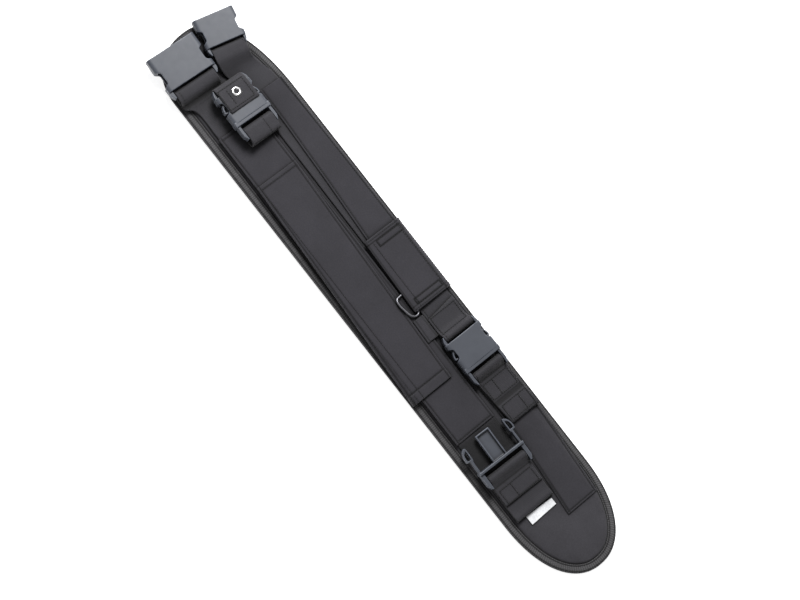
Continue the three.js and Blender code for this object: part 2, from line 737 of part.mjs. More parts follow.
// The tab with the eyelet: it lies on the socket, turns round its bar and comes up through the slot.
function eyeletTab() {
  const top = NARROW.thick + CLEAR + WEBBING / 2;
  const barHeight = NARROW.thick / 2;
  const flat = (x, z) => ({ point: new THREE.Vector3(x, 0, z), across: new THREE.Vector3(0, 1, 0) });
  const { bar } = NARROW.socket;
  const shoulder = [
    { beyond: -2.6, drop: 0 },
    { beyond: 0.8, drop: 1.1 },
    { beyond: 2.9, drop: 3.2 },
  ];
  const stations = [flat(11.6, top), ...shoulder.map(({ beyond, drop }) => flat(bar + beyond, top - drop))];
  const local = { station: flat };
  stations.push(...turnRound(local, bar, barHeight, 0, -180));
  stations.push(flat(bar - TURN, barHeight + TURN));
  const hole = new THREE.CylinderGeometry(EYELET.barrel + CLEAR, EYELET.barrel + CLEAR, 4, EYELET.sides);
  hole.rotateX(Math.PI / 2).translate(EYELET.along, 0, top);
  return toGeometry(toSolid(webbing(stations, NARROW.webbing)).subtract(toSolid(hole)));
}

function eyelet() {
  const { along, hole, barrel, flange, sides } = EYELET;
  const seat = NARROW.thick + 2 * CLEAR + WEBBING;
  const profile = [
    [hole, NARROW.thick + CLEAR],
    [barrel, NARROW.thick + CLEAR],
    [barrel, seat],
    [flange, seat],
    [flange, seat + 0.4],
    [flange - 0.7, seat + 0.9],
    [hole + 0.7, seat + 0.9],
    [hole, seat + 0.4],
  ];
  const rings = profile.map(([radius, z]) =>
    Array.from({ length: sides }, (_, k) => {
      const angle = (k / sides) * Math.PI * 2;
      return new THREE.Vector3(along + Math.cos(angle) * radius, Math.sin(angle) * radius, z);
    }),
  );
  return loft(rings, { hoop: true });
}

function addPoleLoop() {
  addNode("tab_strap", webbing(tabStrapStations(), NARROW.webbing), MATERIALS.webbing);
  addNode("tab_buckle_plug", toGeometry(plug(NARROW)), MATERIALS.buckle, groupAt(TAB_PLUG));
  const group = groupAt(TAB_SOCKET);
  addNode("tab_buckle_socket", toGeometry(socket(NARROW)), MATERIALS.buckle, group);
  addNode("eyelet_tab", eyeletTab(), MATERIALS.webbing, group);
  addNode("eyelet", eyelet(), MATERIALS.eyelet, group);
}

function addLabel() {
  const { low, high, thickness } = LABEL;
  const foot = PAD.top + CLEAR;
  const outline = [
    [low.left, low.y],
    [low.right, low.y],
    [high.right, high.y],
    [high.left, high.y],
  ];
  addNode("label", toGeometry(plate(outline, foot, foot + thickness)), MATERIALS.label);
}

addPad();
addWaistRow();
addUpperRow();
addKeeper();
addRing();
addMiddleBuckle();
addPoleLoop();
addLabel();

// The belt stands on its underside, centred over the origin.
const bounds = new THREE.Box3().setFromObject(belt);
const centre = bounds.getCenter(new THREE.Vector3());
belt.position.set(-centre.x, -centre.y, -bounds.min.z);

export default belt;
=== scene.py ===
# Looks of a padded pole support belt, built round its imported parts. Sizes are millimetres in the part's
# own frame, +X towards the round right end and +Z up, and each mesh is turned to metres as it is made.
import math

import bpy
import numpy as np
from mathutils import Matrix, Vector
from mathutils.bvhtree import BVHTree


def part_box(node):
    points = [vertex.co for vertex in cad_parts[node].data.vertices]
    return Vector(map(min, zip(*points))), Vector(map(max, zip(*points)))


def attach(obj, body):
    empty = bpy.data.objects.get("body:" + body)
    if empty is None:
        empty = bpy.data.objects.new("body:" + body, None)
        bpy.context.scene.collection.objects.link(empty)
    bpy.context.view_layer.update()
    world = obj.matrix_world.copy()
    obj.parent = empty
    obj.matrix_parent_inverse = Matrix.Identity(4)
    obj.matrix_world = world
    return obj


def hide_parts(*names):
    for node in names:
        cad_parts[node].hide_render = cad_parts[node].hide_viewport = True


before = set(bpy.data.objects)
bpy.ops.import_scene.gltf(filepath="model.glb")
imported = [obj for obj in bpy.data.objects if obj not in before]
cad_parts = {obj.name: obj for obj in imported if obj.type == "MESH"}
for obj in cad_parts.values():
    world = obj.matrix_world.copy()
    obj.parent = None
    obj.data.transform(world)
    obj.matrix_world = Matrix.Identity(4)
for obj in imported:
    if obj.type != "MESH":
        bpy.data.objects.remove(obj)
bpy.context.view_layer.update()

MM = 0.001
PAD = {"left": -356.5, "right": 362, "half": 58.5, "top": 7.5}
PAD_END = {"right": 97, "upper_left": 117, "lower_left": 58, "power": 2.2}
RIM_LOW, RIM_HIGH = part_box("edge_binding")
RIM_MIDDLE = (RIM_LOW.y + RIM_HIGH.y) / 2 / MM
SHIFT = np.array([RIM_LOW.x / MM - PAD["left"], RIM_MIDDLE, 0])  # from the part's frame to the row frame

CLEAR = 0.3  # between neighbours
WEBBING = 1.8  # thickness
PANEL = 1.4  # thickness
TAPE_WIDTH = 9.5
FIRST = PAD["top"] + CLEAR + WEBBING / 2  # middle heights of the layers of webbing
SECOND = FIRST + WEBBING + CLEAR
THIRD = SECOND + WEBBING + CLEAR
PANEL_TOP = PAD["top"] + CLEAR + PANEL
BAND_TOP = PAD["top"] + WEBBING + PANEL + 2 * CLEAR

WIDE = {
    "webbing": 50, "body": 60, "arm": 29.8, "thick": 13,
    "socket": {"body": 41, "bar": 47, "end": 50, "at": 25.5, "flat": 6.6, "open": 9.6, "deep": 5.4},
    "plug": {"bar": 12.4, "end": 22, "shoulder": 15.5, "prong": 30.8, "tongue": 33.2, "half": 9, "splay": 2.8,
             "seat": 0},
}
NARROW = {
    "webbing": 38, "body": 47.6, "arm": 22.8, "thick": 11.5,
    "socket": {"body": 34, "bar": 39.9, "end": 42.5, "at": 20.5, "flat": 5.4, "open": 8.2, "deep": 4.6},
    "plug": {"bar": 11, "end": 20, "shoulder": 15.2, "prong": 27, "tongue": 29, "half": 7, "splay": 0,
             "seat": 2.4},
}
WALL = 2.2  # of a socket's flat faces
SIDE_WALL = 3.2
PLATE = 3  # length of a plug's plate along the belt
BAR = {"radius_x": 2, "radius_z": 1.8, "sides": 24}  # the webbing turns round it
TURN = 3.65  # radius of the webbing's middle round a bar


# Meshes

def to_row(points):
    """Millimetres in the part's frame to metres in the row frame."""
    return (np.asarray(points, float) + SHIFT) * MM


def add_mesh(name, points, faces, loop_uv=None, press_and_shade=None):
    """A smooth-shaded object in the row frame. Faces that point inwards are turned round.

    The last argument tells, from 0 to 1, how far stitches or folds draw each point in, and the material
    paints that much shade there; stretches that lie in shadow get it as painted shadow alone.
    """
    points = to_row(points)
    if signed_volume(points, faces) < 0:
        faces = [face[::-1] for face in faces]
        if loop_uv is not None:
            loop_uv = [uv[::-1] for uv in loop_uv]
    mesh = bpy.data.meshes.new(name)
    mesh.from_pydata(points.tolist(), [], faces)
    if loop_uv is not None:
        layer = mesh.uv_layers.new(name="UVMap")
        layer.data.foreach_set("uv", (np.concatenate(loop_uv).astype(float) * MM).ravel())
    if press_and_shade is not None:
        share = mesh.attributes.new("press_and_shade", "FLOAT", "POINT")
        share.data.foreach_set("value", np.asarray(press_and_shade, float).ravel())
    mesh.shade_smooth()
    obj = bpy.data.objects.new(name, mesh)
    bpy.context.collection.objects.link(obj)
    return obj


def signed_volume(points, faces):
    points = np.asarray(points, float)
    fans = [(face[0], face[i], face[i + 1]) for face in faces for i in range(1, len(face) - 1)]
    a, b, c = (points[list(corner)] for corner in zip(*fans))
    return float(np.sum(a * np.cross(b, c)))


def loft(name, rings, along, around, hoop=False, press_and_shade=None):
    """Rings of points joined in turn. along and around give UV lengths, one value more where it closes."""
    rings = np.asarray(rings, float)
    count, sides = rings.shape[:2]
    faces, uvs = [], []
    for i in range(count if hoop else count - 1):
        j = (i + 1) % count
        for k in range(sides):
            m = (k + 1) % sides
            faces.append([i * sides + k, j * sides + k, j * sides + m, i * sides + m])
            u0, u1 = around[k], around[k + 1]
            v0, v1 = along[i], along[i + 1]
            uvs.append([(u0, v0), (u0, v1), (u1, v1), (u1, v0)])
    if not hoop:
        for ring, start in ((0, 0), (count - 1, (count - 1) * sides)):
            for face in cap_faces(sides):
                face = face if ring == 0 else face[::-1]
                uvs.append([(around[k], along[ring]) for k in face])
                faces.append([start + k for k in face])
    return add_mesh(name, rings.reshape(-1, 3), faces, [np.array(uv) for uv in uvs], press_and_shade)


def cap_faces(sides):
    """The end of a loft: a strip between the two halves of its section."""
    return [[k, k + 1, sides - 2 - k, sides - 1 - k] for k in range(sides // 2 - 1)]


def lengths(points, closed=False):
    """Distances along a line of points from its start, with the way back to the start where it is closed."""
    points = np.asarray(points, float)
    if closed:
        points = np.vstack([points, points[:1]])
    steps = np.linalg.norm(np.diff(points, axis=0), axis=1)
    return np.concatenate([[0], np.cumsum(steps)])


def thin_layer(name, top, bottom, along, across, press_and_shade=None, below=0):
    """A thin layer between two faces, each a grid of points. below tells how far its underside counts as
    pressed, which is painted as shade.
    """
    around = np.concatenate([across, across[::-1], across[:1]])
    if press_and_shade is not None:
        press_and_shade = np.hstack([press_and_shade, below * press_and_shade])
    return loft(name, np.concatenate([top, bottom[:, ::-1]], axis=1), along, around, press_and_shade=press_and_shade)


def joined(pieces):
    """Points and faces of several pieces as those of one."""
    points, faces, start = [], [], 0
    for piece_points, piece_faces in pieces:
        points.append(piece_points)
        faces += [[start + i for i in face] for face in piece_faces]
        start += len(piece_points)
    return np.vstack(points), faces


def vertex_points(mesh):
    points = np.empty(len(mesh.vertices) * 3)
    mesh.vertices.foreach_get("co", points)
    return points.reshape(-1, 3)


def finish_piece(obj, material, nodes=()):
    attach(obj, "root")
    if nodes:
        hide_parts(*nodes)
    obj.data.materials.clear()
    obj.data.materials.append(material)
    return obj


# Soft unevenness of cloth

WAVES = [  # wavelength in mm, heading in degrees, phase, share
    (61, 24, 0.4, 0.34), (43, 112, 1.9, 0.26), (29, 61, 3.1, 0.18), (23, 158, 5.0, 0.13), (17, 8, 2.2, 0.09),
]


def unevenness(x, y, seed=0.0):
    """A smooth field between about -1 and 1 over the belt."""
    total = 0.0
    for length, heading, phase, share in WAVES:
        angle = math.radians(heading + 13 * seed)
        way = x * math.cos(angle) + y * math.sin(angle)
        total = total + share * np.sin(way * 2 * math.pi / length + phase + 1.7 * seed)
    return total


def puckers(along, inset, seed=0.0, reach=5.0):
    """Small gathers that run in from a stitched edge and fade."""
    long = 0.6 * np.sin(along * 2 * math.pi / 7.3 + seed)
    short = 0.4 * np.sin(along * 2 * math.pi / 4.9 + 2 * seed)
    return (long + short) * np.exp(-np.maximum(inset, 0) / reach)


# Pad outline

def pad_outline(inset, steps=48, stride=6.0):
    """The pad's outline moved in by inset, as a closed ring of x, y that starts at its right tip."""
    power = 2 / PAD_END["power"]
    right, upper, lower = PAD_END["right"], PAD_END["upper_left"], PAD_END["lower_left"]
    half = PAD["half"] - inset
    centre_right = PAD["right"] - right
    centre_upper = PAD["left"] + upper
    centre_lower = PAD["left"] + lower

    def quarter(x, reach, way_x, way_y, rising):
        angle = np.linspace(0, math.pi / 2, steps + 1)
        if not rising:
            angle = angle[::-1]
        long = np.cos(angle).clip(0) ** power * (reach - inset)
        wide = np.sin(angle).clip(0) ** power * half
        return np.column_stack([x + way_x * long, way_y * wide])

    def straight(x0, x1, y):
        count = max(2, round(abs(x1 - x0) / stride))
        x = np.linspace(x0, x1, count + 1)[1:-1]
        return np.column_stack([x, np.full_like(x, y)])

    return np.vstack([
        quarter(centre_right, right, 1, 1, True),
        straight(centre_right, centre_upper, half),
        quarter(centre_upper, upper, -1, 1, False)[:-1],
        quarter(centre_lower, lower, -1, -1, True),
        straight(centre_lower, centre_right, -half),
        quarter(centre_right, right, 1, -1, False)[:-1],
    ])


RIM = pad_outline(0, steps=30, stride=30.0)


def inset_at(x, y):
    """How far points lie inside the pad's edge."""
    x, y = np.asarray(x, float), np.asarray(y, float)
    nearest = np.full(np.broadcast(x, y).shape, np.inf)
    for (ax, ay), (bx, by) in zip(RIM, np.roll(RIM, -1, axis=0)):
        length = (bx - ax) ** 2 + (by - ay) ** 2
        if length == 0:
            continue
        share = (((x - ax) * (bx - ax) + (y - ay) * (by - ay)) / length).clip(0, 1)
        nearest = np.minimum(nearest, np.hypot(x - ax - share * (bx - ax), y - ay - share * (by - ay)))
    return nearest


# Webbing

class Place:
    """Where a buckle half lies: its mouth or mating face, the heading of its bar end, and its lean."""

    def __init__(self, x, y, z, yaw=0.0, roll=0.0):
        yaw, roll = math.radians(yaw), math.radians(roll)
        self.origin = np.array([x, y, z], float)
        self.along = np.array([math.cos(yaw), math.sin(yaw), 0])
        level = np.array([-math.sin(yaw), math.cos(yaw), 0]) * math.cos(roll)
        self.across = level + [0, 0, math.sin(roll)]
        self.up = np.cross(self.along, self.across)

    def points(self, local):
        local = np.asarray(local, float)
        return self.origin + local[:, :1] * self.along + local[:, 1:2] * self.across + local[:, 2:] * self.up

    def station(self, distance, height):
        return self.points([[distance, 0, height]])[0], self.across


def station_at(x, y, z, yaw=0.0, lean=0.0):
    yaw, lean = math.radians(yaw), math.radians(lean)
    across = np.array([-math.sin(yaw), math.cos(yaw) * math.cos(lean), math.sin(lean)])
    return np.array([x, y, z], float), across / np.linalg.norm(across)


def turn_round(place, bar, height, start, end):
    steps = round(abs(end - start) / 22.5)
    angles = np.radians(np.linspace(start, end, steps + 1))
    return [place.station(bar + math.cos(a) * TURN, height + math.sin(a) * TURN) for a in angles]


LEAVE = {"under": 3.2, "settled": 6.4, "crest": 8, "flat": 11, "droop": 0.9}  # distances from a bar


def sewn_loop(place, bar, height, tip, tip_height, run):
    """From the webbing's short end, over the bar, down through the slot and back under the bar."""
    short, level = tip_height - place.origin[2], run - place.origin[2]
    stations = [place.station(tip, short)]
    if tip > bar + LEAVE["flat"] + 3:
        stations.append(place.station(bar + LEAVE["flat"], short))
    stations.append(place.station(bar + LEAVE["crest"], short + 1))
    stations += turn_round(place, bar, height, 45, 270)
    stations.append(place.station(bar + LEAVE["under"], max(level, height - TURN - LEAVE["droop"])))
    stations.append(place.station(bar + LEAVE["settled"], level))
    return stations


def tucked_loop(place, bar, height, tip, run, crown):
    """From the hidden short end, under the bar, round it, and down over the short end."""
    level = run - place.origin[2]
    stations = [place.station(tip, level), place.station(bar + LEAVE["settled"], level)]
    stations.append(place.station(bar + LEAVE["under"], max(level, height - TURN - LEAVE["droop"])))
    stations += turn_round(place, bar, height, 270, 90)
    return stations + [place.station(bar + beyond, rise) for beyond, rise in crown]


def smooth_line(points, step=1.5):
    """Evenly spaced points on a centripetal Catmull-Rom curve through the given ones."""
    points = np.asarray(points, float)
    padded = np.vstack([2 * points[0] - points[1], points, 2 * points[-1] - points[-2]])
    dense = []
    for i in range(1, len(padded) - 2):
        p = padded[i - 1:i + 3]
        t = np.concatenate([[0], np.cumsum(np.sqrt(np.linalg.norm(np.diff(p[:, :3], axis=0), axis=1)))])
        for s in np.linspace(t[1], t[2], 24, endpoint=False):
            a = [p[k] + (p[k + 1] - p[k]) * (s - t[k]) / (t[k + 1] - t[k]) for k in range(3)]
            b = [a[k] + (a[k + 1] - a[k]) * (s - t[k]) / (t[k + 2] - t[k]) for k in range(2)]
            dense.append(b[0] + (b[1] - b[0]) * (s - t[1]) / (t[2] - t[1]))
    dense.append(points[-1])
    dense = np.array(dense)
    along = lengths(dense[:, :3])
    count = max(2, round(along[-1] / step))
    even = np.linspace(0, along[-1], count + 1)
    return np.column_stack([np.interp(even, along, dense[:, k]) for k in range(dense.shape[1])])


def edge_profile(distance, round_over):
    """How thick a layer is near its edge, as a share of its full thickness."""
    near = (np.asarray(distance, float) / round_over).clip(0, 1)
    return 0.35 + 0.65 * np.sqrt(1 - (1 - near) ** 2)


def between(x, start, stop, fade):
    """1 inside a stretch of x, and down to 0 at its two ends."""
    return (np.minimum(x - start, stop - x) / fade).clip(0, 1)


def ribbon(name, stations, width, skew=0.0, seed=0.0, dips=(), dim=()):
    """Webbing through its stations, each a point and the direction across it.

    A dip is (from, to, least height): it presses the webbing thinner and is painted darker as shade in the
    crease. A dim stretch is (from, to, greatest height) and lies in shade, painted as shadow on its colour.
    """
    line = smooth_line([np.concatenate(s) for s in stations])
    centre, across = line[:, :3], line[:, 3:]
    across /= np.linalg.norm(across, axis=1)[:, None]
    heading = np.gradient(centre, axis=0)
    heading -= np.sum(heading * across, axis=1)[:, None] * across
    heading /= np.linalg.norm(heading, axis=1)[:, None]
    up = np.cross(heading, across)
    along = lengths(centre)
    half = width / 2
    inner = np.linspace(-0.8, 0.8, 9)
    side = half * np.array([-1, -0.994, -0.98, -0.95, -0.9, *inner, 0.9, 0.95, 0.98, 0.994, 1])
    inset = half - np.abs(side)
    selvage = 1 + 0.06 * np.exp(-((inset - 1.2) / 0.8) ** 2)
    profile = edge_profile(inset, 0.7) * selvage
    body = edge_profile(np.minimum(along, along[-1] - along), 0.8)
    x, z = centre[:, 0], centre[:, 2]
    # Dips press the webbing thinner and are painted as shade; dim stretches only get painted shadow.
    drawn_and_shaded = np.zeros(len(centre))
    for start, stop, least in dips:
        drawn_and_shaded = np.maximum(drawn_and_shaded, between(x, start, stop, 1.2) * (z > least))
    body = body * (1 - 0.6 * drawn_and_shaded)
    for start, stop, most in dim:
        drawn_and_shaded = np.maximum(drawn_and_shaded, 0.95 * between(x, start, stop, 2.5) * (z < most))
    wave = 0.07 * unevenness(along[:, None], 1.3 * side[None, :], seed)
    wave = wave + 0.05 * puckers(along[:, None], inset)
    thick = (WEBBING - 0.1) / 2 * body[:, None] * profile[None, :]
    middle = centre[:, None, :] + side[None, :, None] * across[:, None, :]
    bow = np.exp(-along / 4)[:, None] * skew * (side / half)[None, :]
    slant = bow[..., None] * heading[:, None, :]
    top, bottom = (middle + (wave + rise)[..., None] * up[:, None, :] + slant for rise in (thick, -thick))
    drawn_and_shaded = np.repeat(drawn_and_shaded[:, None], len(side), axis=1)
    return thin_layer(name, top, bottom, along, side, press_and_shade=drawn_and_shaded, below=1)


# Panels that lie over what is under them

TAPE_TOP = 5.9  # how high the binding carries a panel
FULL_INSET = 16  # from here inwards the pad has its full height
DRAPE = {"span": 3.5, "fall": 0.55}  # how far a panel stands out past a layer's edge, and its slope there


def pad_top(inset):
    slope = (PAD["top"] - TAPE_TOP) / (FULL_INSET - TAPE_WIDTH)
    return TAPE_TOP + (np.minimum(inset, FULL_INSET) - TAPE_WIDTH).clip(0) * slope


def rest_height(x, y, layers):
    """The height that a panel comes to lie at over the pad and the layers, each its rows and its top."""
    height = pad_top(inset_at(x, y))
    for rows, top in layers:
        (x0, low0, high0), (x1, low1, high1) = rows[0], rows[-1]
        share = ((x - x0) / (x1 - x0)).clip(0, 1)
        low, high = low0 + (low1 - low0) * share, high0 + (high1 - high0) * share
        past_end = np.maximum(0, np.maximum(x0 - x, x - x1))
        past_side = np.maximum(0, np.maximum(low - y, y - high))
        outside = np.hypot(past_end, past_side)
        height = np.maximum(height, top - DRAPE["fall"] * np.maximum(0, outside - DRAPE["span"]))
    return height


def eased(height, rounds=6):
    """Softens the inner corners of a laid layer, and never lowers it."""
    soft = height.copy()
    for _ in range(rounds):
        edge = np.pad(soft, 1, mode="edge")
        mean = (edge[:-2, 1:-1] + edge[2:, 1:-1] + edge[1:-1, :-2] + edge[1:-1, 2:]) / 4
        soft = np.maximum(height, mean)
    return soft


SEAM = {"inset": 2.6, "depth": 0.42, "half": 0.75}  # rows of stitches press a groove into a panel


def spread(start, end, stride, fine=()):
    """Values from start to end, close together at both ends and round the fine ones."""
    inner = np.array([0, 0.12, 0.35, 0.8, 1.4, 2.0, 2.6, 3.2, 3.8])
    count = max(2, round((end - start) / stride))
    middle = np.linspace(start + 5, end - 5, count)
    near = [value + step for value in fine for step in (-1.1, -0.6, -0.25, 0, 0.25, 0.6, 1.1)]
    middle = [m for m in middle if all(abs(m - value) > 1.5 for value in fine)]
    return np.sort(np.concatenate([start + inner, middle, near, end - inner]))


def groove(distance):
    return SEAM["depth"] * np.exp(-(distance / SEAM["half"]) ** 2)


def box_groove(x, y, x0, x1, y0, y1):
    outside = np.maximum(np.abs(x - (x0 + x1) / 2) - (x1 - x0) / 2, np.abs(y - (y0 + y1) / 2) - (y1 - y0) / 2)
    return groove(outside)


def edges_at(rows, x):
    """A panel's low and high edge at x, from its rows of x, low, high."""
    where, low, high = np.array(rows, float).T
    return np.interp(x, where, low), np.interp(x, where, high)


def panel(name, rows, layers, seed, hems=(), seams=(), relief=0.22):
    """A sewn panel from rows of x, low, high, with a groove along each long edge and at each seam's x, each
    groove also painted darker as shade.

    A hem is (from, to, rise): a folded and raised stretch.
    """
    left, right = rows[0][0], rows[-1][0]
    hem_edges = [edge for hem in hems for edge in hem[:2]]
    x = spread(left, right, 2.4, [line for line in (*seams, *hem_edges) if left + 5 < line < right - 5])
    low, high = edges_at(rows, x)
    share = spread(0, high[0] - low[0], 2.4) / (high[0] - low[0])
    grid_x = np.repeat(x[:, None], len(share), axis=1)
    grid_y = low[:, None] + (high - low)[:, None] * share[None, :]
    lower = eased(rest_height(grid_x, grid_y, layers)) + CLEAR
    side = np.minimum(share[None, :], 1 - share[None, :]) * (high - low)[:, None]
    end = np.minimum(x - x[0], x[-1] - x)[:, None]
    inset = np.minimum(side, end)
    thick = (PANEL - 0.1) * np.minimum(edge_profile(side, 0.8), edge_profile(end, 0.8))
    for start, stop, rise in hems:
        thick = thick + rise * between(grid_x, start, stop, 0.9) ** 0.5 * edge_profile(side, 0.8)
    soft = relief * (unevenness(grid_x, grid_y, seed) + 1) / 2 * (inset / 6).clip(0, 1)
    soft = soft + 0.14 * puckers(grid_x, side, seed) * (inset / 1.5).clip(0, 1)
    # Grooves that press the panel in, and that the material also paints as shade.
    press_and_shade = groove(side - SEAM["inset"])
    for seam in seams:
        press_and_shade = np.maximum(press_and_shade, groove(grid_x - seam) * (side > 1.5))
    press_and_shade = press_and_shade * (inset > 0.3)
    upper = lower + np.maximum(thick + soft - press_and_shade, 0.4)
    top, bottom = (np.stack([grid_x, grid_y, z], axis=2) for z in (upper, lower))
    return thin_layer(name, top, bottom, x, grid_y[0], press_and_shade=press_and_shade / SEAM["depth"])


# Where each piece lies

WAIST = {"y": -20.2, "hidden_tip": 62, "tip": 45.6}  # tips are measured from the buckle's mouth or joint
FOLD = {"x": 267.4, "y": -21.2, "bulge": 2.3, "rise": 1.6, "back": 7}  # of the waist strap at its right end
WAIST_SOCKET = Place(-349.6, -28.4, PAD["top"] + 2 * CLEAR, -2)
WAIST_PLUG = Place(204.6, -19.4, 9, -1.6)
UPPER = {"y": 28.8, "start": -262, "end": -57.5, "hidden_tip": 60}
UPPER_SOCKET = Place(-352.8, 31.4, PAD["top"] + 2 * CLEAR, -11.5)
MIDDLE = {"x": 111.4, "y": 31.2, "z": PANEL_TOP + CLEAR, "start": 14, "end": 186.4, "drift": 3.6}
MIDDLE_TIPS = (69.4, 73.8)  # the short ends of its left and right strap, measured from the buckle's joint
MIDDLE_SOCKET = Place(MIDDLE["x"], MIDDLE["y"], MIDDLE["z"], 180)
MIDDLE_PLUG = Place(MIDDLE["x"] + CLEAR, MIDDLE["y"], MIDDLE["z"])
TAB = {"x": -240.7, "y": -4.9, "z": 13.7, "lean": 8}
TAB_SOCKET = Place(TAB["x"], TAB["y"], TAB["z"], 180, TAB["lean"])
TAB_PLUG = Place(TAB["x"] + CLEAR, TAB["y"], TAB["z"], 0, -TAB["lean"])
CURL = {"x": -217.8, "radius": 4.6, "tail": 2.4, "drift": 1.3}  # of the pole loop at its right end
HALF_TURN = range(-90, 91, 30)  # degrees

WAIST_CROWN = [(5.6, 9.8), (9, 8.8), (11.6, 5.9), (13.8, 3.5), (16.6, 2.7)]  # beyond the bar, height
WAIST_RUN = [(-280, WAIST["y"] - 2), (-240, WAIST["y"]), (167, WAIST["y"])]
WAIST_DIPS = [(-291, -284.5, 0), (226.2, 229.4, THIRD - 1)]  # pressed across and painted darker as shade in the crease: from, to, least height
WAIST_SHADE = [(168, 203, SECOND)]  # under the plug: from, to, greatest height
UPPER_CROWN = [(5, 9.4), (11, 8.8)]
UPPER_DESCENT = [(-291.5, 21.4, 2.4, -5), (-284, 23.4, 0.4, -4), (-274, 26.8, 0, -2)]  # x, y, rise, yaw
WAIST_STRAP_ROWS = [(-300, -45.6, 5), (270, -46, 4.8)]
UPPER_STRAP_ROWS = [(-262, 9.8, 47.8), (UPPER["end"], 9.8, 47.8)]
LOWER_BAND = [(-240.7, -46.2, 5.8), (167.2, -46.5, 5.5)]
LOWER_SLEEVE = [(-175.7, -46.4, 5.6), (95.4, -57.2, -5.2), (106.5, -57.6, -5.6)]
UPPER_BAND_LEFT = [(-256.7, 22.4, 51.7), (-214, 22, 52.8), (-134, 18.6, 54), (-59.6, 14.1, 54)]
UPPER_BAND_RIGHT = [
    (-56.4, 14.8, 54.7), (57.5, 13.7, 54.1), (186.4, 11.9, 53), (228, 9.6, 50.7), (298.6, 3.9, 45.6),
]
RING_TAB = [(36.2, -2, 11.8), (64, -3, 11.7)]
KEEPER = {"left": -61.8, "right": 29.8, "low": 9.2, "high": 57.2, "low_ceiling": 13, "ceiling": 12.2}
KEEPER_SLANT = {"drop": 3.5, "lift": 1.2}  # its lower edge comes down and rises over the ring to the right
KEEPER_BOXES = [(-55.4, -48, 20.9, 52.6), (18, 24.5, 16.3, 49.4)]  # its stitched boxes: two x, two y
KEEPER_HEMS = [(KEEPER["left"], KEEPER["left"] + 5.2, 0.6), (KEEPER["right"] - 5, KEEPER["right"], 0.65)]
RING = {"wire": 1.15, "y": 12, "z": 10.7, "slope": 0.31}  # it leans, and z is its height at y
RING_PATH = [
    (9, 10.4), (6.6, 8.6), (6.3, 3), (7.4, -1.6), (11.5, -3.2), (23, -1.8),
    (30.2, 0.6), (33, 4), (32.8, 8.6), (30.4, 10.3), (20.5, 10.5),
]
EYELET_AT = 28.3  # along the upper face of the pole loop's socket
LABEL = [(-34.5, 270.6, 282.2), (0.3, 273.2, 281.4)]  # y, left, right


# Straps

def waist_strap():
    fold = [station_at(FOLD["x"] - FOLD["back"], FOLD["y"], FIRST)]
    for angle in np.radians(HALF_TURN):
        x = FOLD["x"] + math.cos(angle) * FOLD["bulge"]
        fold.append(station_at(x, FOLD["y"], FIRST + FOLD["rise"] * (1 + math.sin(angle))))
    fold.append(station_at(FOLD["x"] - FOLD["back"], FOLD["y"], SECOND))
    middle = WIDE["thick"] / 2
    tip = WAIST["hidden_tip"]
    stations = tucked_loop(WAIST_SOCKET, WIDE["socket"]["bar"], middle, tip, FIRST, WAIST_CROWN)
    stations += [station_at(x, y, FIRST) for x, y in WAIST_RUN] + fold
    stations += sewn_loop(WAIST_PLUG, WIDE["plug"]["bar"], middle, WAIST["tip"], THIRD, SECOND)[::-1]
    return ribbon("waist_webbing", stations, WIDE["webbing"], seed=1, dips=WAIST_DIPS, dim=WAIST_SHADE)


def upper_strap():
    middle, tip = NARROW["thick"] / 2, UPPER["hidden_tip"]
    stations = tucked_loop(UPPER_SOCKET, NARROW["socket"]["bar"], middle, tip, FIRST, UPPER_CROWN)
    stations += [station_at(x, y, FIRST + rise, yaw) for x, y, rise, yaw in UPPER_DESCENT]
    stations += [station_at(x, UPPER["y"], FIRST) for x in (UPPER["start"], UPPER["end"])]
    return ribbon("upper_webbing", stations, NARROW["webbing"], seed=2)


def middle_straps():
    middle = NARROW["thick"] / 2
    run = PANEL_TOP + CLEAR + WEBBING / 2
    short = run + WEBBING + CLEAR
    left = sewn_loop(MIDDLE_SOCKET, NARROW["socket"]["bar"], middle, MIDDLE_TIPS[0], short, run)
    left.append(station_at(MIDDLE["start"], MIDDLE["y"], run, 180))
    right = sewn_loop(MIDDLE_PLUG, NARROW["plug"]["bar"], middle, MIDDLE_TIPS[1], short, run)
    right.append(station_at(MIDDLE["end"], MIDDLE["y"], run))
    straight = MIDDLE["x"] + NARROW["plug"]["end"]
    for point, _ in right:
        point[1] += MIDDLE["drift"] * max(0, (point[0] - straight) / (MIDDLE["end"] - straight))
    # stitched stretches, pressed thinner and painted darker as shade: from, to, least height
    dips = [(155.8, 163.2, short - 1), (129, 132.2, short - 1)]
    return (ribbon("middle_webbing_left", left, NARROW["webbing"], skew=2.6, seed=3),
            ribbon("middle_webbing_right", right, NARROW["webbing"], seed=4, dips=dips))


def pole_loop_strap():
    foot = BAND_TOP + CLEAR + WEBBING / 2
    stations = [station_at(CURL["x"] - CURL["tail"], TAB["y"], foot)]
    for degrees in HALF_TURN:
        angle, share = math.radians(degrees), (degrees + 90) / 180
        x = CURL["x"] + math.cos(angle) * CURL["radius"]
        z = foot + CURL["radius"] * (1 + math.sin(angle))
        stations.append(station_at(x, TAB["y"] + share * CURL["drift"], z, 0, -TAB["lean"] * share))
    middle, bar = NARROW["thick"] / 2, NARROW["plug"]["bar"]
    stations += turn_round(TAB_PLUG, bar, middle, 90, 270)
    stations.append(TAB_PLUG.station(bar + LEAVE["under"], middle - TURN))
    return ribbon("pole_loop_webbing", stations, NARROW["webbing"], seed=5)


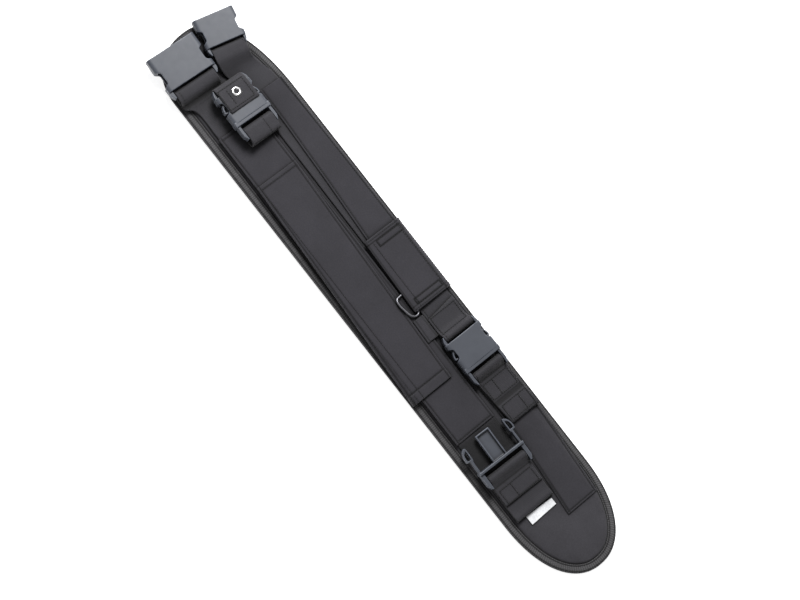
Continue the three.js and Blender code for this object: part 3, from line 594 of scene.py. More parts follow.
def eyelet_tab():
    top, middle, bar = NARROW["thick"] + CLEAR + WEBBING / 2, NARROW["thick"] / 2, NARROW["socket"]["bar"]
    shoulder = ((11.6, top), (bar - 2.6, top), (bar + 0.8, top - 1.1), (bar + 2.9, top - 3.2))
    stations = [TAB_SOCKET.station(*s) for s in shoulder]
    stations += turn_round(TAB_SOCKET, bar, middle, 0, -180)
    stations.append(TAB_SOCKET.station(bar - TURN, middle + TURN))
    return ribbon("eyelet_webbing", stations, NARROW["webbing"], seed=6)


# Keeper, ring, eyelet and label

def keeper():
    """A short sleeve over the upper row, its lower edge free and its upper edge down on the binding."""
    low, high, low_ceiling, ceiling = (KEEPER[key] for key in ("low", "high", "low_ceiling", "ceiling"))
    line = smooth_line([
        (low, low_ceiling + 0.5, 0), (low + 4, low_ceiling + 0.75, 0), (high - 8, ceiling + 0.95, 0),
        (high - 3.4, ceiling + 0.45, 0), (high - 1.1, ceiling - 1.6, 0), (high - 0.7, 9, 0),
        (high - 0.7, 6.3, 0),
    ], step=0.9)
    heading = np.gradient(line, axis=0)
    normal = np.column_stack([-heading[:, 1], heading[:, 0]])
    normal /= np.linalg.norm(normal, axis=1)[:, None]
    across = lengths(line)
    left_hem, right_hem = KEEPER_HEMS[0][1], KEEPER_HEMS[1][0]
    fine = [left_hem, *(edge for box in KEEPER_BOXES for edge in box[:2])]
    x = spread(KEEPER["left"], KEEPER["right"], 2.0, fine)
    side = np.minimum(across, across[-1] - across)[None, :]
    end = np.minimum(x - x[0], x[-1] - x)[:, None]
    thick = 1.3 * np.minimum(edge_profile(side, 0.7), edge_profile(end, 0.7))
    for start, stop, rise in KEEPER_HEMS:
        thick = thick + rise * between(x, start, stop, 0.8)[:, None] ** 0.5
    flat = ((high - 5 - line[:, 0]) / 6).clip(0, 1)[None, :]
    grid_x, grid_y = np.meshgrid(x, line[:, 0], indexing="ij")
    sag = 0.5 * np.sin(np.pi * ((x - x[0]) / (x[-1] - x[0])))[:, None] * flat * (side / 12).clip(0, 1)
    soft = 0.3 * unevenness(grid_x, grid_y, 8) * (end / 8).clip(0, 1) * flat - sag
    # Painted shade along its stitch lines and round its boxes; only the boxes are also pressed into the
    # shape.
    drawn_and_shaded = groove(grid_y - (low + 1.6)) + groove(grid_x - left_hem - 0.3) + groove(grid_x - right_hem + 0.3)
    for box in KEEPER_BOXES:
        x0, x1, y0, y1 = box
        drawn_and_shaded = np.maximum(drawn_and_shaded, 1.8 * box_groove(grid_x, grid_y, *box))
        welt = np.minimum(between(grid_x, x0, x1, 1.5), between(grid_y, y0, y1, 1.5))
        soft = soft + 0.45 * welt - 1.4 * box_groove(grid_x, grid_y, *box)
    slant = (grid_x - x[0]) / (x[-1] - x[0]) * (high - grid_y) / (high - low)

    def face(offset):
        y = line[None, :, 0] + offset * normal[None, :, 0] - KEEPER_SLANT["drop"] * slant
        z = line[None, :, 1] + offset * normal[None, :, 1] + KEEPER_SLANT["lift"] * slant
        return np.stack([grid_x, y, z], axis=2)

    top, bottom = face(0.5 * thick + soft), face(-0.5 * thick + 0.6 * soft)
    return thin_layer("keeper_cloth", top, bottom, x, across, press_and_shade=drawn_and_shaded / SEAM["depth"])


def hoop_of_wire(name, centre, radius, sides=16):
    heading = np.roll(centre, -1, axis=0) - np.roll(centre, 1, axis=0)
    outward = np.column_stack([heading[:, 1], -heading[:, 0], np.zeros(len(centre))])
    outward /= np.linalg.norm(outward, axis=1)[:, None]
    angle = np.linspace(0, 2 * math.pi, sides, endpoint=False)
    ring = outward[:, None, :] * np.cos(angle)[None, :, None] * radius
    ring = ring + np.array([0, 0, radius])[None, None, :] * np.sin(angle)[None, :, None]
    around = np.linspace(0, 2 * math.pi * radius, sides + 1)
    return loft(name, centre[:, None, :] + ring, lengths(centre, closed=True), around, hoop=True)


def d_ring():
    path = [(x, y, RING["z"] - RING["slope"] * (y - RING["y"])) for x, y in RING_PATH]
    line = smooth_line(path[-3:] + path + path[:3], step=0.7)
    first = int(np.argmin(np.linalg.norm(line[:len(line) // 3] - path[0], axis=1)))
    last = len(line) // 2 + int(np.argmin(np.linalg.norm(line[len(line) // 2:] - path[0], axis=1)))
    return hoop_of_wire("ring_wire", line[first:last], RING["wire"])


def lathe(name, place, along, profile, sides=48):
    angle = np.linspace(0, 2 * math.pi, sides, endpoint=False)
    rings = [place.points(np.column_stack([along + r * np.cos(angle), r * np.sin(angle), np.full(sides, z)]))
             for r, z in profile]
    line = lengths(profile, closed=True)
    return loft(name, rings, line, np.linspace(0, 2 * math.pi * profile[0][0], sides + 1), hoop=True)


def eyelet():
    """A rolled flange round a barrel that goes down through the tab."""
    seat = NARROW["thick"] + 2 * CLEAR + WEBBING
    foot = NARROW["thick"] + CLEAR
    hole, barrel, flange, crown = 2.5, 3.3, 5.3, 0.95
    middle, reach = (hole + flange) / 2, (flange - hole) / 2
    roll = [(middle + reach * math.cos(a), seat + crown * math.sin(a)) for a in np.linspace(0, math.pi, 15)]
    profile = [(hole, foot), (barrel, foot), (barrel, seat - 0.05)] + roll
    return lathe("eyelet_ring", TAB_SOCKET, EYELET_AT, profile)


def label():
    """A small folded tag, laid as one thin layer whose one side lifts a little."""
    (low, left_low, right_low), (high, left_high, right_high) = LABEL
    width = right_low - left_low
    across = spread(0, width, 1.0)
    y = spread(low, high, 1.5)
    share, grid_y = np.meshgrid(across / width, y, indexing="ij")
    rise = (grid_y - low) / (high - low)
    left, right = left_low + (left_high - left_low) * rise, right_low + (right_high - right_low) * rise
    grid_x = left + (right - left) * share
    curl = 0.55 * share ** 2 + 0.12 * np.sin((grid_y + 4 * share) / 6.0) * share
    side = np.minimum(np.minimum(grid_x - left, right - grid_x), np.minimum(grid_y - low, high - grid_y))
    thick = 0.5 * edge_profile(side, 0.25)
    foot = PAD["top"] + CLEAR + 0.05
    top, bottom = (np.stack([grid_x, grid_y, foot + curl + rise], axis=2) for rise in (thick, 0))
    return thin_layer("label_tag", top, bottom, across, y)


# Pad and binding

PAD_SECTION = [  # inset, height
    (57.4, 0), (50, 0), (40, 0), (30, 0), (22, 0), (16, 0), (13.5, 0.15), (11.5, 0.6), (10.2, 1.9), (6, 2.1),
    (2.2, 2.2), (1.6, 3),
    (2.2, 3.8), (6, 4.1), (9.7, 4.5), (10.4, 5.6), (11.5, 6.5), (13, 7.15), (15, 7.45), (18, 7.5),
    (22, 7.5), (27, 7.5), (33, 7.5), (40, 7.5), (48, 7.5), (54, 7.5), (57.4, 7.5),
]
TAPE_SECTION = [  # inset, height
    (9.5, 5.7), (8.6, 5.8), (7.8, 5.75), (7, 5.72), (5.4, 5.55), (3.6, 5.35), (2.8, 5.25), (2, 5.1),
    (1.3, 4.8), (0.7, 4.3), (0.15, 3.5), (0.15, 2.5), (0.7, 1.7), (1.7, 1.0), (3, 0.8), (5, 0.7), (7, 0.58),
    (9.5, 0.5),
    (9.5, 1.5), (6, 1.6), (2.4, 1.75), (1.2, 3), (2.4, 4.25), (6, 4.6), (9.5, 4.8),
]
TAPE_OUTER = 18  # how many of its points lie on the outer face
BINDING_STITCHES = (2.0, 7.8)  # insets of its rows of stitches


LABEL_ROWS = [(LABEL[0][side], LABEL[0][0], LABEL[1][0]) for side in (1, 2)]
LEFT_END = [(-360, -60, 60), (-296, -60, 60)]  # under the open sockets
HELD_DOWN = [
    WAIST_STRAP_ROWS, UPPER_STRAP_ROWS, UPPER_BAND_LEFT, UPPER_BAND_RIGHT, LOWER_SLEEVE, LOWER_BAND,
    LABEL_ROWS, LEFT_END,
]


def covered(x, y):
    """Where straps or panels lie on the pad, from 0 in the open to 1 under a layer."""
    cover = np.zeros(np.broadcast(x, y).shape)
    for rows in HELD_DOWN:
        low, high = edges_at(rows, x)
        outside = np.maximum(np.maximum(rows[0][0] - x, x - rows[-1][0]), np.maximum(low - y, y - high))
        cover = np.maximum(cover, (1 - (outside - 1) / 7).clip(0, 1))
    return cover


def ring_at(inset, height, steps, stride):
    outline = pad_outline(inset, steps, stride)
    return np.column_stack([outline, np.full(len(outline), height)])


def planar_uv(obj):
    """UV lengths in metres that follow X and Y, so that a weave lies straight on the piece."""
    mesh = obj.data
    layer = mesh.uv_layers.get("UVMap") or mesh.uv_layers.new(name="UVMap")
    corners = np.empty(len(mesh.loops), dtype=int)
    mesh.loops.foreach_get("vertex_index", corners)
    layer.data.foreach_set("uv", vertex_points(mesh)[corners][:, :2].ravel())


SWELL = {"frames": 20, "pressure": 4, "cap": 1.2}  # cap is how far the free foam may rise


def swell(obj):
    """Puffs the foam with a short cloth simulation, and holds it down where straps and panels lie on it."""
    rest = vertex_points(obj.data)
    x, y, z = (rest / MM - SHIFT).T
    free = (1 - covered(x, y)) * ((z - 4.4) / 1.5).clip(0, 1)
    held = obj.vertex_groups.new(name="held")
    for i in np.flatnonzero(free < 0.999):
        held.add([int(i)], float(1 - free[i]), "REPLACE")
    cloth = obj.modifiers.new("swell", "CLOTH")
    cloth.settings.vertex_group_mass = "held"
    cloth.settings.use_pressure = True
    cloth.settings.uniform_pressure_force = SWELL["pressure"]
    cloth.settings.effector_weights.gravity = 0
    cloth.settings.quality = 6
    cloth.point_cache.frame_start, cloth.point_cache.frame_end = 1, SWELL["frames"]
    for number in range(1, SWELL["frames"] + 1):
        bpy.context.scene.frame_set(number)
    shift = vertex_points(obj.evaluated_get(bpy.context.evaluated_depsgraph_get()).data) - rest
    limit = (0.05 + SWELL["cap"] * free) * MM
    size = np.linalg.norm(shift, axis=1)
    shift *= np.minimum(1, limit / np.maximum(size, 1e-9))[:, None]
    obj.modifiers.remove(cloth)
    bpy.context.scene.frame_set(1)
    obj.data.vertices.foreach_set("co", (rest + shift).ravel())
    obj.data.update()


def pad():
    rings = [ring_at(inset, z, steps=26, stride=7.5) for inset, z in PAD_SECTION]
    obj = loft("pad_foam", rings, lengths(PAD_SECTION), lengths(rings[9], closed=True))
    swell(obj)
    subdivide(obj, 1)
    planar_uv(obj)
    return obj


def subdivide(obj, levels):
    step = obj.modifiers.new("finer", "SUBSURF")
    step.levels = step.render_levels = levels
    apply_modifiers(obj)


def apply_modifiers(obj):
    """Replaces the mesh with what its modifiers make of it."""
    graph = bpy.context.evaluated_depsgraph_get()
    seen = obj.evaluated_get(graph)
    made = bpy.data.meshes.new_from_object(seen, preserve_all_data_layers=True, depsgraph=graph)
    obj.modifiers.clear()
    old, obj.data = obj.data, made
    made.name = old.name
    bpy.data.meshes.remove(old)


def binding():
    """Tape folded over the pad's rim, a little uneven where the stitches pull it down, and painted darker as
    shade in those grooves.
    """
    tape = smooth_section(TAPE_SECTION)
    rings = np.array([ring_at(inset, z, steps=64, stride=2.5) for inset, z in tape]).transpose(1, 0, 2)
    rim = lengths(rings[:, 0], closed=True)
    wave = 0.12 * np.sin(rim[:-1] * 2 * math.pi / 9.1) + 0.1 * np.sin(rim[:-1] * 2 * math.pi / 23.7 + 1)
    rings[:, :, 2] += wave[:, None] * ((rings[:, :, 2] - 4.9) / 0.5).clip(0, 1)
    press_and_shade = sum(groove(tape[:, 0] - line) for line in BINDING_STITCHES)
    rings[:, :, 2] -= press_and_shade[None, :] * (rings[:, :, 2] > 4.6)
    drawn_and_shaded = np.broadcast_to(press_and_shade / SEAM["depth"], rings.shape[:2])
    return loft("binding_tape", rings, rim, lengths(tape, closed=True), hoop=True, press_and_shade=drawn_and_shaded)


def smooth_section(section):
    """Rounds a section's outer face by one step of corner cutting, and keeps its two edges."""
    points = np.array(section, float)
    outer = points[:TAPE_OUTER]
    cut = [outer[0]]
    for a, b in zip(outer[:-1], outer[1:]):
        cut += [a * 0.75 + b * 0.25, a * 0.25 + b * 0.75]
    cut.append(outer[-1])
    return np.vstack([cut, points[TAPE_OUTER:]])


# Buckles, in their own frame: along to the bar end, across, and up from the underside

def solid_between(near, far):
    """A closed solid between two rings with as many points each."""
    count = len(near)
    faces = [list(range(count))[::-1], list(range(count, 2 * count))]
    faces += [[k, (k + 1) % count, count + (k + 1) % count, count + k] for k in range(count)]
    points = np.vstack([near, far])
    if signed_volume(points, faces) < 0:
        faces = [face[::-1] for face in faces]
    return points, faces


def prism(outline, low, high, along_x=False):
    """A closed solid raised from an outline, along Z, or along X from an outline of Y and Z."""
    outline = np.asarray(outline, float)
    levels = [np.full((len(outline), 1), level) for level in (low, high)]
    return solid_between(*(np.hstack([level, outline] if along_x else [outline, level]) for level in levels))


def rounded(outline, radius, steps=5):
    """The outline with each corner cut by a curve."""
    points = np.asarray(outline, float)
    curve = []
    for before, corner, after in zip(np.roll(points, 1, axis=0), points, np.roll(points, -1, axis=0)):
        a, b = before - corner, after - corner
        la, lb = np.linalg.norm(a), np.linalg.norm(b)
        reach = min(radius, la * 0.48, lb * 0.48)
        start, end = corner + a / la * reach, corner + b / lb * reach
        for t in np.linspace(0, 1, steps):
            curve.append((1 - t) ** 2 * start + 2 * t * (1 - t) * corner + t ** 2 * end)
    return np.array(curve)


def block(x0, x1, y0, y1, z0, z1):
    return prism([(x0, y0), (x1, y0), (x1, y1), (x0, y1)], z0, z1)


def mirrored(outline):
    return [(x, -y) for x, y in outline][::-1]


def bar_across(x, z, reach):
    """A bar across the buckle, nearly square with round corners."""
    angle = np.linspace(0, 2 * math.pi, BAR["sides"], endpoint=False)
    run, rise = (np.sign(value) * np.abs(value) ** 0.6 for value in (np.cos(angle), np.sin(angle)))
    x, z = x + BAR["radius_x"] * run, z + BAR["radius_z"] * rise
    return solid_between(*(np.column_stack([x, np.full(len(x), y), z]) for y in (-reach, reach)))


def temporary(name, place, pieces):
    points, faces = joined((place.points(points), faces) for points, faces in pieces)
    mesh = bpy.data.meshes.new(name)
    mesh.from_pydata(to_row(points).tolist(), [], faces)
    obj = bpy.data.objects.new(name, mesh)
    bpy.context.collection.objects.link(obj)
    return obj


def moulded(name, place, added, removed, triangles):
    """One moulded body: solids joined, others cut away, its edges softened, and its mesh thinned out."""
    obj = temporary(name, place, added)
    cutters = []
    for number, piece in enumerate(removed):
        cutter = temporary(f"{name}_cut_{number}", place, [piece])
        cutters.append(cutter)
        cut = obj.modifiers.new("cut", "BOOLEAN")
        cut.operation, cut.solver, cut.object = "DIFFERENCE", "EXACT", cutter
        cut.use_self = number == 0
    grain = 0.42
    skin = obj.modifiers.new("skin", "REMESH")
    skin.mode, skin.voxel_size, skin.use_smooth_shade = "VOXEL", grain * MM, True
    soft = obj.modifiers.new("soft", "SMOOTH")
    soft.factor, soft.iterations = 0.5, 4
    apply_modifiers(obj)
    for cutter in cutters:
        mesh = cutter.data
        bpy.data.objects.remove(cutter)
        bpy.data.meshes.remove(mesh)
    thin = obj.modifiers.new("thin", "DECIMATE")
    thin.ratio = min(1.0, triangles / max(1, 2 * len(obj.data.polygons)))
    even = obj.modifiers.new("even", "WEIGHTED_NORMAL")
    even.weight = 80
    apply_modifiers(obj)
    return obj


def hull_section(size):
    """The socket's section across: flat faces and rounded sides."""
    half, thick, flat = size["body"] / 2, size["thick"], size["webbing"] / 2
    angle = np.linspace(0, math.pi / 2, 8)
    bulge_y, bulge_z = np.sin(angle) * (half - flat), (1 - np.cos(angle)) * 3.2
    right_low = np.column_stack([flat + bulge_y, bulge_z])
    right_high = np.column_stack([flat + bulge_y, thick - bulge_z])[::-1]
    right = np.vstack([right_low, right_high])
    left = right[::-1] * [-1, 1]
    crown = [(flat * s, thick + 0.35 * (1 - s * s)) for s in (0.66, 0.33, 0, -0.33, -0.66)]
    return np.vstack([right, crown, left])


def arms(size, start, end):
    inner, outer = size["webbing"] / 2 + 0.5, size["arm"]
    low, high = size["thick"] / 2 - 4, size["thick"] / 2 + 4
    outline = [(start, inner), (end, inner), (end, outer - 2.6), (end - 5, outer), (start, outer)]
    return [prism(rounded(turned, 1.6), low, high) for turned in (outline, mirrored(outline))]


def socket_half(name, place, size):
    half, thick, flat = size["body"] / 2, size["thick"], size["webbing"] / 2
    body, bar, end, at = (size["socket"][key] for key in ("body", "bar", "end", "at"))
    added = [prism(hull_section(size), 0, body, along_x=True)]
    added += arms(size, body - 2, end)
    added.append(bar_across(bar, thick / 2, flat + 1))
    side = half - SIDE_WALL
    removed = [block(-1, body - 2.5, -side, side, WALL, thick - WALL)]
    flat_half, open_half, deep = (size["socket"][key] for key in ("flat", "open", "deep"))
    reach = open_half + (open_half - flat_half) / deep
    notch = [
        (at - flat_half, half - deep), (at + flat_half, half - deep), (at + reach, half + 1),
        (at - reach, half + 1),
    ]
    removed += [prism(rounded(turned, 1.8), -1, thick + 1) for turned in (notch, mirrored(notch))]
    angle = np.linspace(-math.pi / 2, math.pi / 2, 21)
    mouth = np.column_stack([0.3 * np.cos(angle).clip(0) ** 0.5, (half - 4) * np.sin(angle)])
    mouth = np.vstack([[-1, 4 - half], mouth, [-1, half - 4]])
    removed.append(prism(mouth, -1, thick + 1))
    return moulded(name, place, added, removed, triangles=30000)


def plug_half(name, place, size):
    half, thick, middle = size["body"] / 2, size["thick"], size["thick"] / 2
    plug = size["plug"]
    bar, end, reach, wide = (plug[key] for key in ("bar", "end", "tongue", "half"))
    rim = 0.3
    added = [block(-plug["seat"], PLATE, rim - half, half - rim, rim, thick - rim)]
    added += arms(size, 0.5, end)
    added.append(bar_across(bar, middle, size["webbing"] / 2 + 1))
    deep, floor, wall = 2.4, 0.6, 1.7
    tongue = [(-reach, -wide), (0.5, -wide), (0.5, wide), (-reach, wide)]
    added.append(prism(rounded(tongue, 1.5), middle - deep, middle + deep))
    hollow = wide - wall
    removed = [block(wall - reach, -0.01, -hollow, hollow, middle - floor, middle + deep + 1)]
    arm = half - 4.9 + plug["splay"]
    shoulder, prong = plug["shoulder"], plug["prong"]
    head = [
        (-shoulder + 2, arm - 1.2), (-shoulder, arm - 2.6), (-prong + 2, arm - 2.6), (-prong, arm - 1.4),
        (-prong + 2.2, arm + 2.2), (-prong + 6, arm + 4.2), (-prong + 10, arm + 5), (-shoulder, arm + 4.8),
        (-shoulder + 0.6, arm + 1.2), (-shoulder + 2, arm + 1.2),
    ]
    hole = [
        (-prong + 3.4, arm - 1), (-shoulder - 1.4, arm - 1), (-shoulder - 1.4, arm + 3.2),
        (-prong + 9.6, arm + 3.3), (-prong + 5.8, arm + 2.4),
    ]
    stem = [(-shoulder + 1.6, arm - 1.2), (0.5, arm - 1.2), (0.5, arm + 1.2), (-shoulder + 1.6, arm + 1.2)]
    for turned in (list, mirrored):
        added.append(prism(turned(stem), middle - 3, middle + 3))
        added.append(prism(rounded(turned(head), 1.4), middle - 3, middle + 3))
        removed.append(prism(rounded(turned(hole), 0.9), middle - 4, middle + 4))
    return moulded(name, place, added, removed, triangles=26000)


BUCKLES = [  # node, which half, its place, its size
    ("waist_buckle_socket", socket_half, WAIST_SOCKET, WIDE),
    ("waist_buckle_plug", plug_half, WAIST_PLUG, WIDE),
    ("upper_buckle_socket", socket_half, UPPER_SOCKET, NARROW),
    ("middle_buckle_socket", socket_half, MIDDLE_SOCKET, NARROW),
    ("middle_buckle_plug", plug_half, MIDDLE_PLUG, NARROW),
    ("tab_buckle_socket", socket_half, TAB_SOCKET, NARROW),
    ("tab_buckle_plug", plug_half, TAB_PLUG, NARROW),
]


# Stitches, laid on whatever shows from above

class Surface:
    """What shows from above, for laying stitches on it."""

    def __init__(self, objects):
        meshes = [obj.data for obj in objects]
        points, faces = joined((vertex_points(mesh), [p.vertices for p in mesh.polygons]) for mesh in meshes)
        self.tree = BVHTree.FromPolygons(points.tolist(), faces)

    def under(self, x, y):
        start = Vector((*to_row([x, y, 0])[:2], 0.2))
        point, normal, _, _ = self.tree.ray_cast(start, Vector((0, 0, -1)))
        return point, normal


def capsule(length, radius, sides=6):
    """A thread's rounded bar along X: its points and faces."""
    half, taper = length / 2, length / 2 - radius * 0.6
    stations = [(-half, 0.25), (-taper, 0.9), (0, 1), (taper, 0.9), (half, 0.25)]
    points = [(x, r * radius * math.cos(a), r * radius * math.sin(a))
              for x, r in stations for a in np.linspace(0, 2 * math.pi, sides, endpoint=False)]
    faces = []
    for near in range(0, 4 * sides, sides):
        far = near + sides
        faces += [[near + k, far + k, far + (k + 1) % sides, near + (k + 1) % sides] for k in range(sides)]
    faces += [list(range(sides))[::-1], list(range(4 * sides, 5 * sides))]
    return np.array(points), faces


def stitches(name, surface, lines, pitch=2.8, length=2.4, radius=0.45):
    """Thread along lines of x, y, one joined mesh for all of them."""
    bar, bar_faces = capsule(length, radius)
    threads = []
    for line in lines:
        line = np.asarray(line, float)
        along = lengths(line)
        count = max(1, round(along[-1] / pitch))
        for middle in (np.arange(count) + 0.5) * along[-1] / count:
            back, here, ahead = ([np.interp(middle + step, along, line[:, k]) for k in range(2)]
                                 for step in (-0.4, 0, 0.4))
            point, normal = surface.under(*here)
            if point is None:
                continue
            way = Vector((ahead[0] - back[0], ahead[1] - back[1], 0))
            way = (way - normal * way.dot(normal)).normalized()
            side = normal.cross(way)
            centre = np.array(point) / MM - SHIFT
            threads.append((centre + bar @ np.array([way, side, normal]), bar_faces))
    return add_mesh(name, *joined(threads))


def box_line(x0, x1, y0, y1):
    return [(x0, y0), (x1, y0), (x1, y1), (x0, y1), (x0, y0)]


def row_line(rows, edge, inset=2.6, stop=None):
    """A line that keeps a distance inside a panel's low or high edge."""
    start = rows[0][0] + 1.5
    stop = rows[-1][0] - 1.5 if stop is None else stop
    x = np.linspace(start, stop, max(2, round((stop - start) / 8)))
    low, high = edges_at(rows, x)
    return np.column_stack([x, low + inset if edge == "low" else high - inset])


BAND_SEAMS = [-237.5, 164.5]
SLEEVE_HEMS = [(95.8, 107, 1.0), (-176, -169.5, 0.35)]
SLEEVE_SEAMS = [-171, 94.8]
UPPER_SEAM = 296
PANEL_LINES = [
    row_line(UPPER_BAND_LEFT, "high"), row_line(UPPER_BAND_LEFT, "low"),
    row_line(UPPER_BAND_RIGHT, "high"), row_line(UPPER_BAND_RIGHT, "low", 1.6),
    row_line(LOWER_BAND, "low"), row_line(LOWER_BAND, "high", stop=-176),
    row_line(LOWER_SLEEVE, "low"), row_line(LOWER_SLEEVE, "high"),
    [(UPPER_SEAM, 6), (UPPER_SEAM, 43)],
    [(SLEEVE_SEAMS[1], -54), (SLEEVE_SEAMS[1], -8)], [(SLEEVE_SEAMS[0], -43), (SLEEVE_SEAMS[0], 3)],
    [(27.8, 8), (27.8, 54)], [(-59.6, 12), (-59.6, 54)],
    *[box_line(*box) for box in KEEPER_BOXES],
    *[[(x, -43), (x, 3)] for x in BAND_SEAMS],
]
STRAP_LINES = [
    box_line(135, 154.5, 15.5, 48.5), [(135, 27.5), (154.5, 27.5)],
    box_line(164.5, 183, 18, 51), [(164.5, 40), (183, 40)],
    box_line(45, 66, 15, 47.5),
    box_line(232.5, 249, -42, 1), [(232.5, -27), (249, -27)],
    box_line(-279, -255.5, -21, 11.5), [(-276, -11.6), (-258, -11.6)],
]


# Materials

def shader(name, rough, spec=0.5):
    material = bpy.data.materials.new(name)
    material.use_nodes = True
    tree = material.node_tree
    body = tree.nodes["Principled BSDF"]
    body.inputs["Roughness"].default_value = rough
    body.inputs["Specular IOR Level"].default_value = spec
    return material, tree, body


def maths(tree, kind, a, b=None, c=None):
    node = tree.nodes.new("ShaderNodeMath")
    node.operation = kind
    for socket, value in zip(node.inputs, (a, b, c)):
        if value is None:
            continue
        if isinstance(value, (int, float)):
            socket.default_value = value
        else:
            tree.links.new(value, socket)
    return node.outputs[0]


def noise(tree, where, size_mm, detail=2.0):
    """Noise between 0 and 1 with patches of about that size."""
    node = tree.nodes.new("ShaderNodeTexNoise")
    node.inputs["Scale"].default_value = 1 / (size_mm * MM)
    node.inputs["Detail"].default_value = detail
    tree.links.new(where, node.inputs["Vector"])
    return node.outputs["Fac"]


def thread_height(tree, u, v, across_mm, along_mm):
    """Rows of beads, every second row half a bead further on: the look of woven yarn, from 0 to 1."""
    row = maths(tree, "DIVIDE", u, across_mm * MM)
    odd = maths(tree, "MODULO", maths(tree, "FLOOR", maths(tree, "ABSOLUTE", row)), 2.0)
    bead = maths(tree, "ADD", maths(tree, "DIVIDE", v, along_mm * MM), maths(tree, "MULTIPLY", odd, 0.5))
    ridge = maths(tree, "ABSOLUTE", maths(tree, "SINE", maths(tree, "MULTIPLY", row, math.pi)))
    knot = maths(tree, "ABSOLUTE", maths(tree, "SINE", maths(tree, "MULTIPLY", bead, math.pi)))
    beads = maths(tree, "MULTIPLY", ridge, maths(tree, "MULTIPLY_ADD", knot, 0.6, 0.4))
    return maths(tree, "POWER", beads, 0.6)


def shaded_in_hollows(tree, shade, reach_mm, least):
    """Painted shade: less colour in narrow places and under nearby parts, where less light reaches."""
    near = tree.nodes.new("ShaderNodeAmbientOcclusion")
    near.samples = 6
    near.inputs["Distance"].default_value = reach_mm * MM
    deep = maths(tree, "POWER", near.outputs["AO"], 2.0)
    return maths(tree, "MULTIPLY", shade, maths(tree, "MULTIPLY_ADD", deep, 1 - least, least))


def tinted(tree, body, colour, level):
    """Gives the body a colour that a grey level makes lighter or darker."""
    tint = tree.nodes.new("ShaderNodeMix")
    tint.data_type, tint.blend_type = "RGBA", "MULTIPLY"
    tint.inputs[0].default_value = 1.0
    tint.inputs[6].default_value = (*colour, 1)
    grey = tree.nodes.new("ShaderNodeCombineColor")
    for channel in range(3):
        tree.links.new(level, grey.inputs[channel])
    tree.links.new(grey.outputs[0], tint.inputs[7])
    tree.links.new(tint.outputs[2], body.inputs["Base Color"])


def bumped(tree, body, height, depth_mm, strength):
    bump = tree.nodes.new("ShaderNodeBump")
    bump.inputs["Distance"].default_value = depth_mm * MM
    bump.inputs["Strength"].default_value = strength
    tree.links.new(height, bump.inputs["Height"])
    tree.links.new(bump.outputs[0], body.inputs["Normal"])


def cloth_material(name, colour, across_mm, along_mm, depth_mm,
                   contrast=0.5, rough=0.85, sheen=0.15, turned=False):
    """Woven cloth: threads in its bump and colour, faded patches, lint, painted shade in narrow places, and
    painted shade in pressed seams, creases and stretches in shadow.
    """
    material, tree, body = shader(name, rough, 0.3)
    body.inputs["Sheen Weight"].default_value = sheen
    body.inputs["Sheen Roughness"].default_value = 0.5
    uv = tree.nodes.new("ShaderNodeUVMap")
    uv.uv_map = "UVMap"
    split = tree.nodes.new("ShaderNodeSeparateXYZ")
    tree.links.new(uv.outputs[0], split.inputs[0])
    u, v = (split.outputs[1], split.outputs[0]) if turned else (split.outputs[0], split.outputs[1])
    height = thread_height(tree, u, v, across_mm, along_mm)
    where = tree.nodes.new("ShaderNodeTexCoord").outputs["Object"]
    patches = maths(tree, "MULTIPLY_ADD", noise(tree, where, 26, 3), 0.5, 0.75)
    flecks = maths(tree, "MULTIPLY_ADD", noise(tree, where, 1.6, 2), 0.5, 0.75)
    weave = maths(tree, "MULTIPLY_ADD", height, contrast, 1 - contrast * 0.6)
    shade = maths(tree, "MULTIPLY", maths(tree, "MULTIPLY", patches, flecks), weave)
    # Painted shade in narrow gaps and under raised parts nearby.
    shade = shaded_in_hollows(tree, shaded_in_hollows(tree, shade, 4, 0.05), 22, 0.25)
    # Painted shade from each mesh's mask of pressed seams, creases and stretches in shadow.
    drawn_and_shaded = tree.nodes.new("ShaderNodeAttribute")
    drawn_and_shaded.attribute_name = "press_and_shade"
    left = maths(tree, "SUBTRACT", 1.0, maths(tree, "MULTIPLY", drawn_and_shaded.outputs["Fac"], 0.7))
    tinted(tree, body, colour, maths(tree, "MULTIPLY", shade, left))
    bumped(tree, body, height, depth_mm, 0.7)
    return material


def plastic_material(name, colour, rough=0.5):
    """Moulded plastic with a fine grain, uneven gloss, painted highlights on its sharp edges and painted
    shade in its hollows.
    """
    material, tree, body = shader(name, rough, 0.5)
    where = tree.nodes.new("ShaderNodeTexCoord").outputs["Object"]
    # Sharp edges are painted paler as a highlight.
    edge_sharpness = tree.nodes.new("ShaderNodeNewGeometry").outputs["Pointiness"]
    edge = maths(tree, "MULTIPLY", maths(tree, "SUBTRACT", edge_sharpness, 0.51), 30.0)
    edge = maths(tree, "MINIMUM", maths(tree, "MAXIMUM", edge, 0.0), 3.2)
    cloud = maths(tree, "MULTIPLY_ADD", noise(tree, where, 14, 4), 0.3, 0.85)
    # Random cloudy tone plus the painted edge highlight, with painted shade in hollows.
    tinted(tree, body, colour, shaded_in_hollows(tree, maths(tree, "ADD", cloud, edge), 5, 0.3))
    gloss = maths(tree, "MULTIPLY_ADD", noise(tree, where, 6, 3), 0.16, rough - 0.08)
    tree.links.new(gloss, body.inputs["Roughness"])
    bumped(tree, body, noise(tree, where, 0.5, 2), 0.05, 0.35)
    return material


def metal_material(name, colour, rough, scratch_mm=1.2):
    material, tree, body = shader(name, rough)
    body.inputs["Metallic"].default_value = 1.0
    body.inputs["Base Color"].default_value = (*colour, 1)
    where = tree.nodes.new("ShaderNodeTexCoord").outputs["Object"]
    gloss = maths(tree, "MULTIPLY_ADD", noise(tree, where, scratch_mm, 4), 0.2, rough - 0.1)
    tree.links.new(gloss, body.inputs["Roughness"])
    return material


# Camera, floor and light

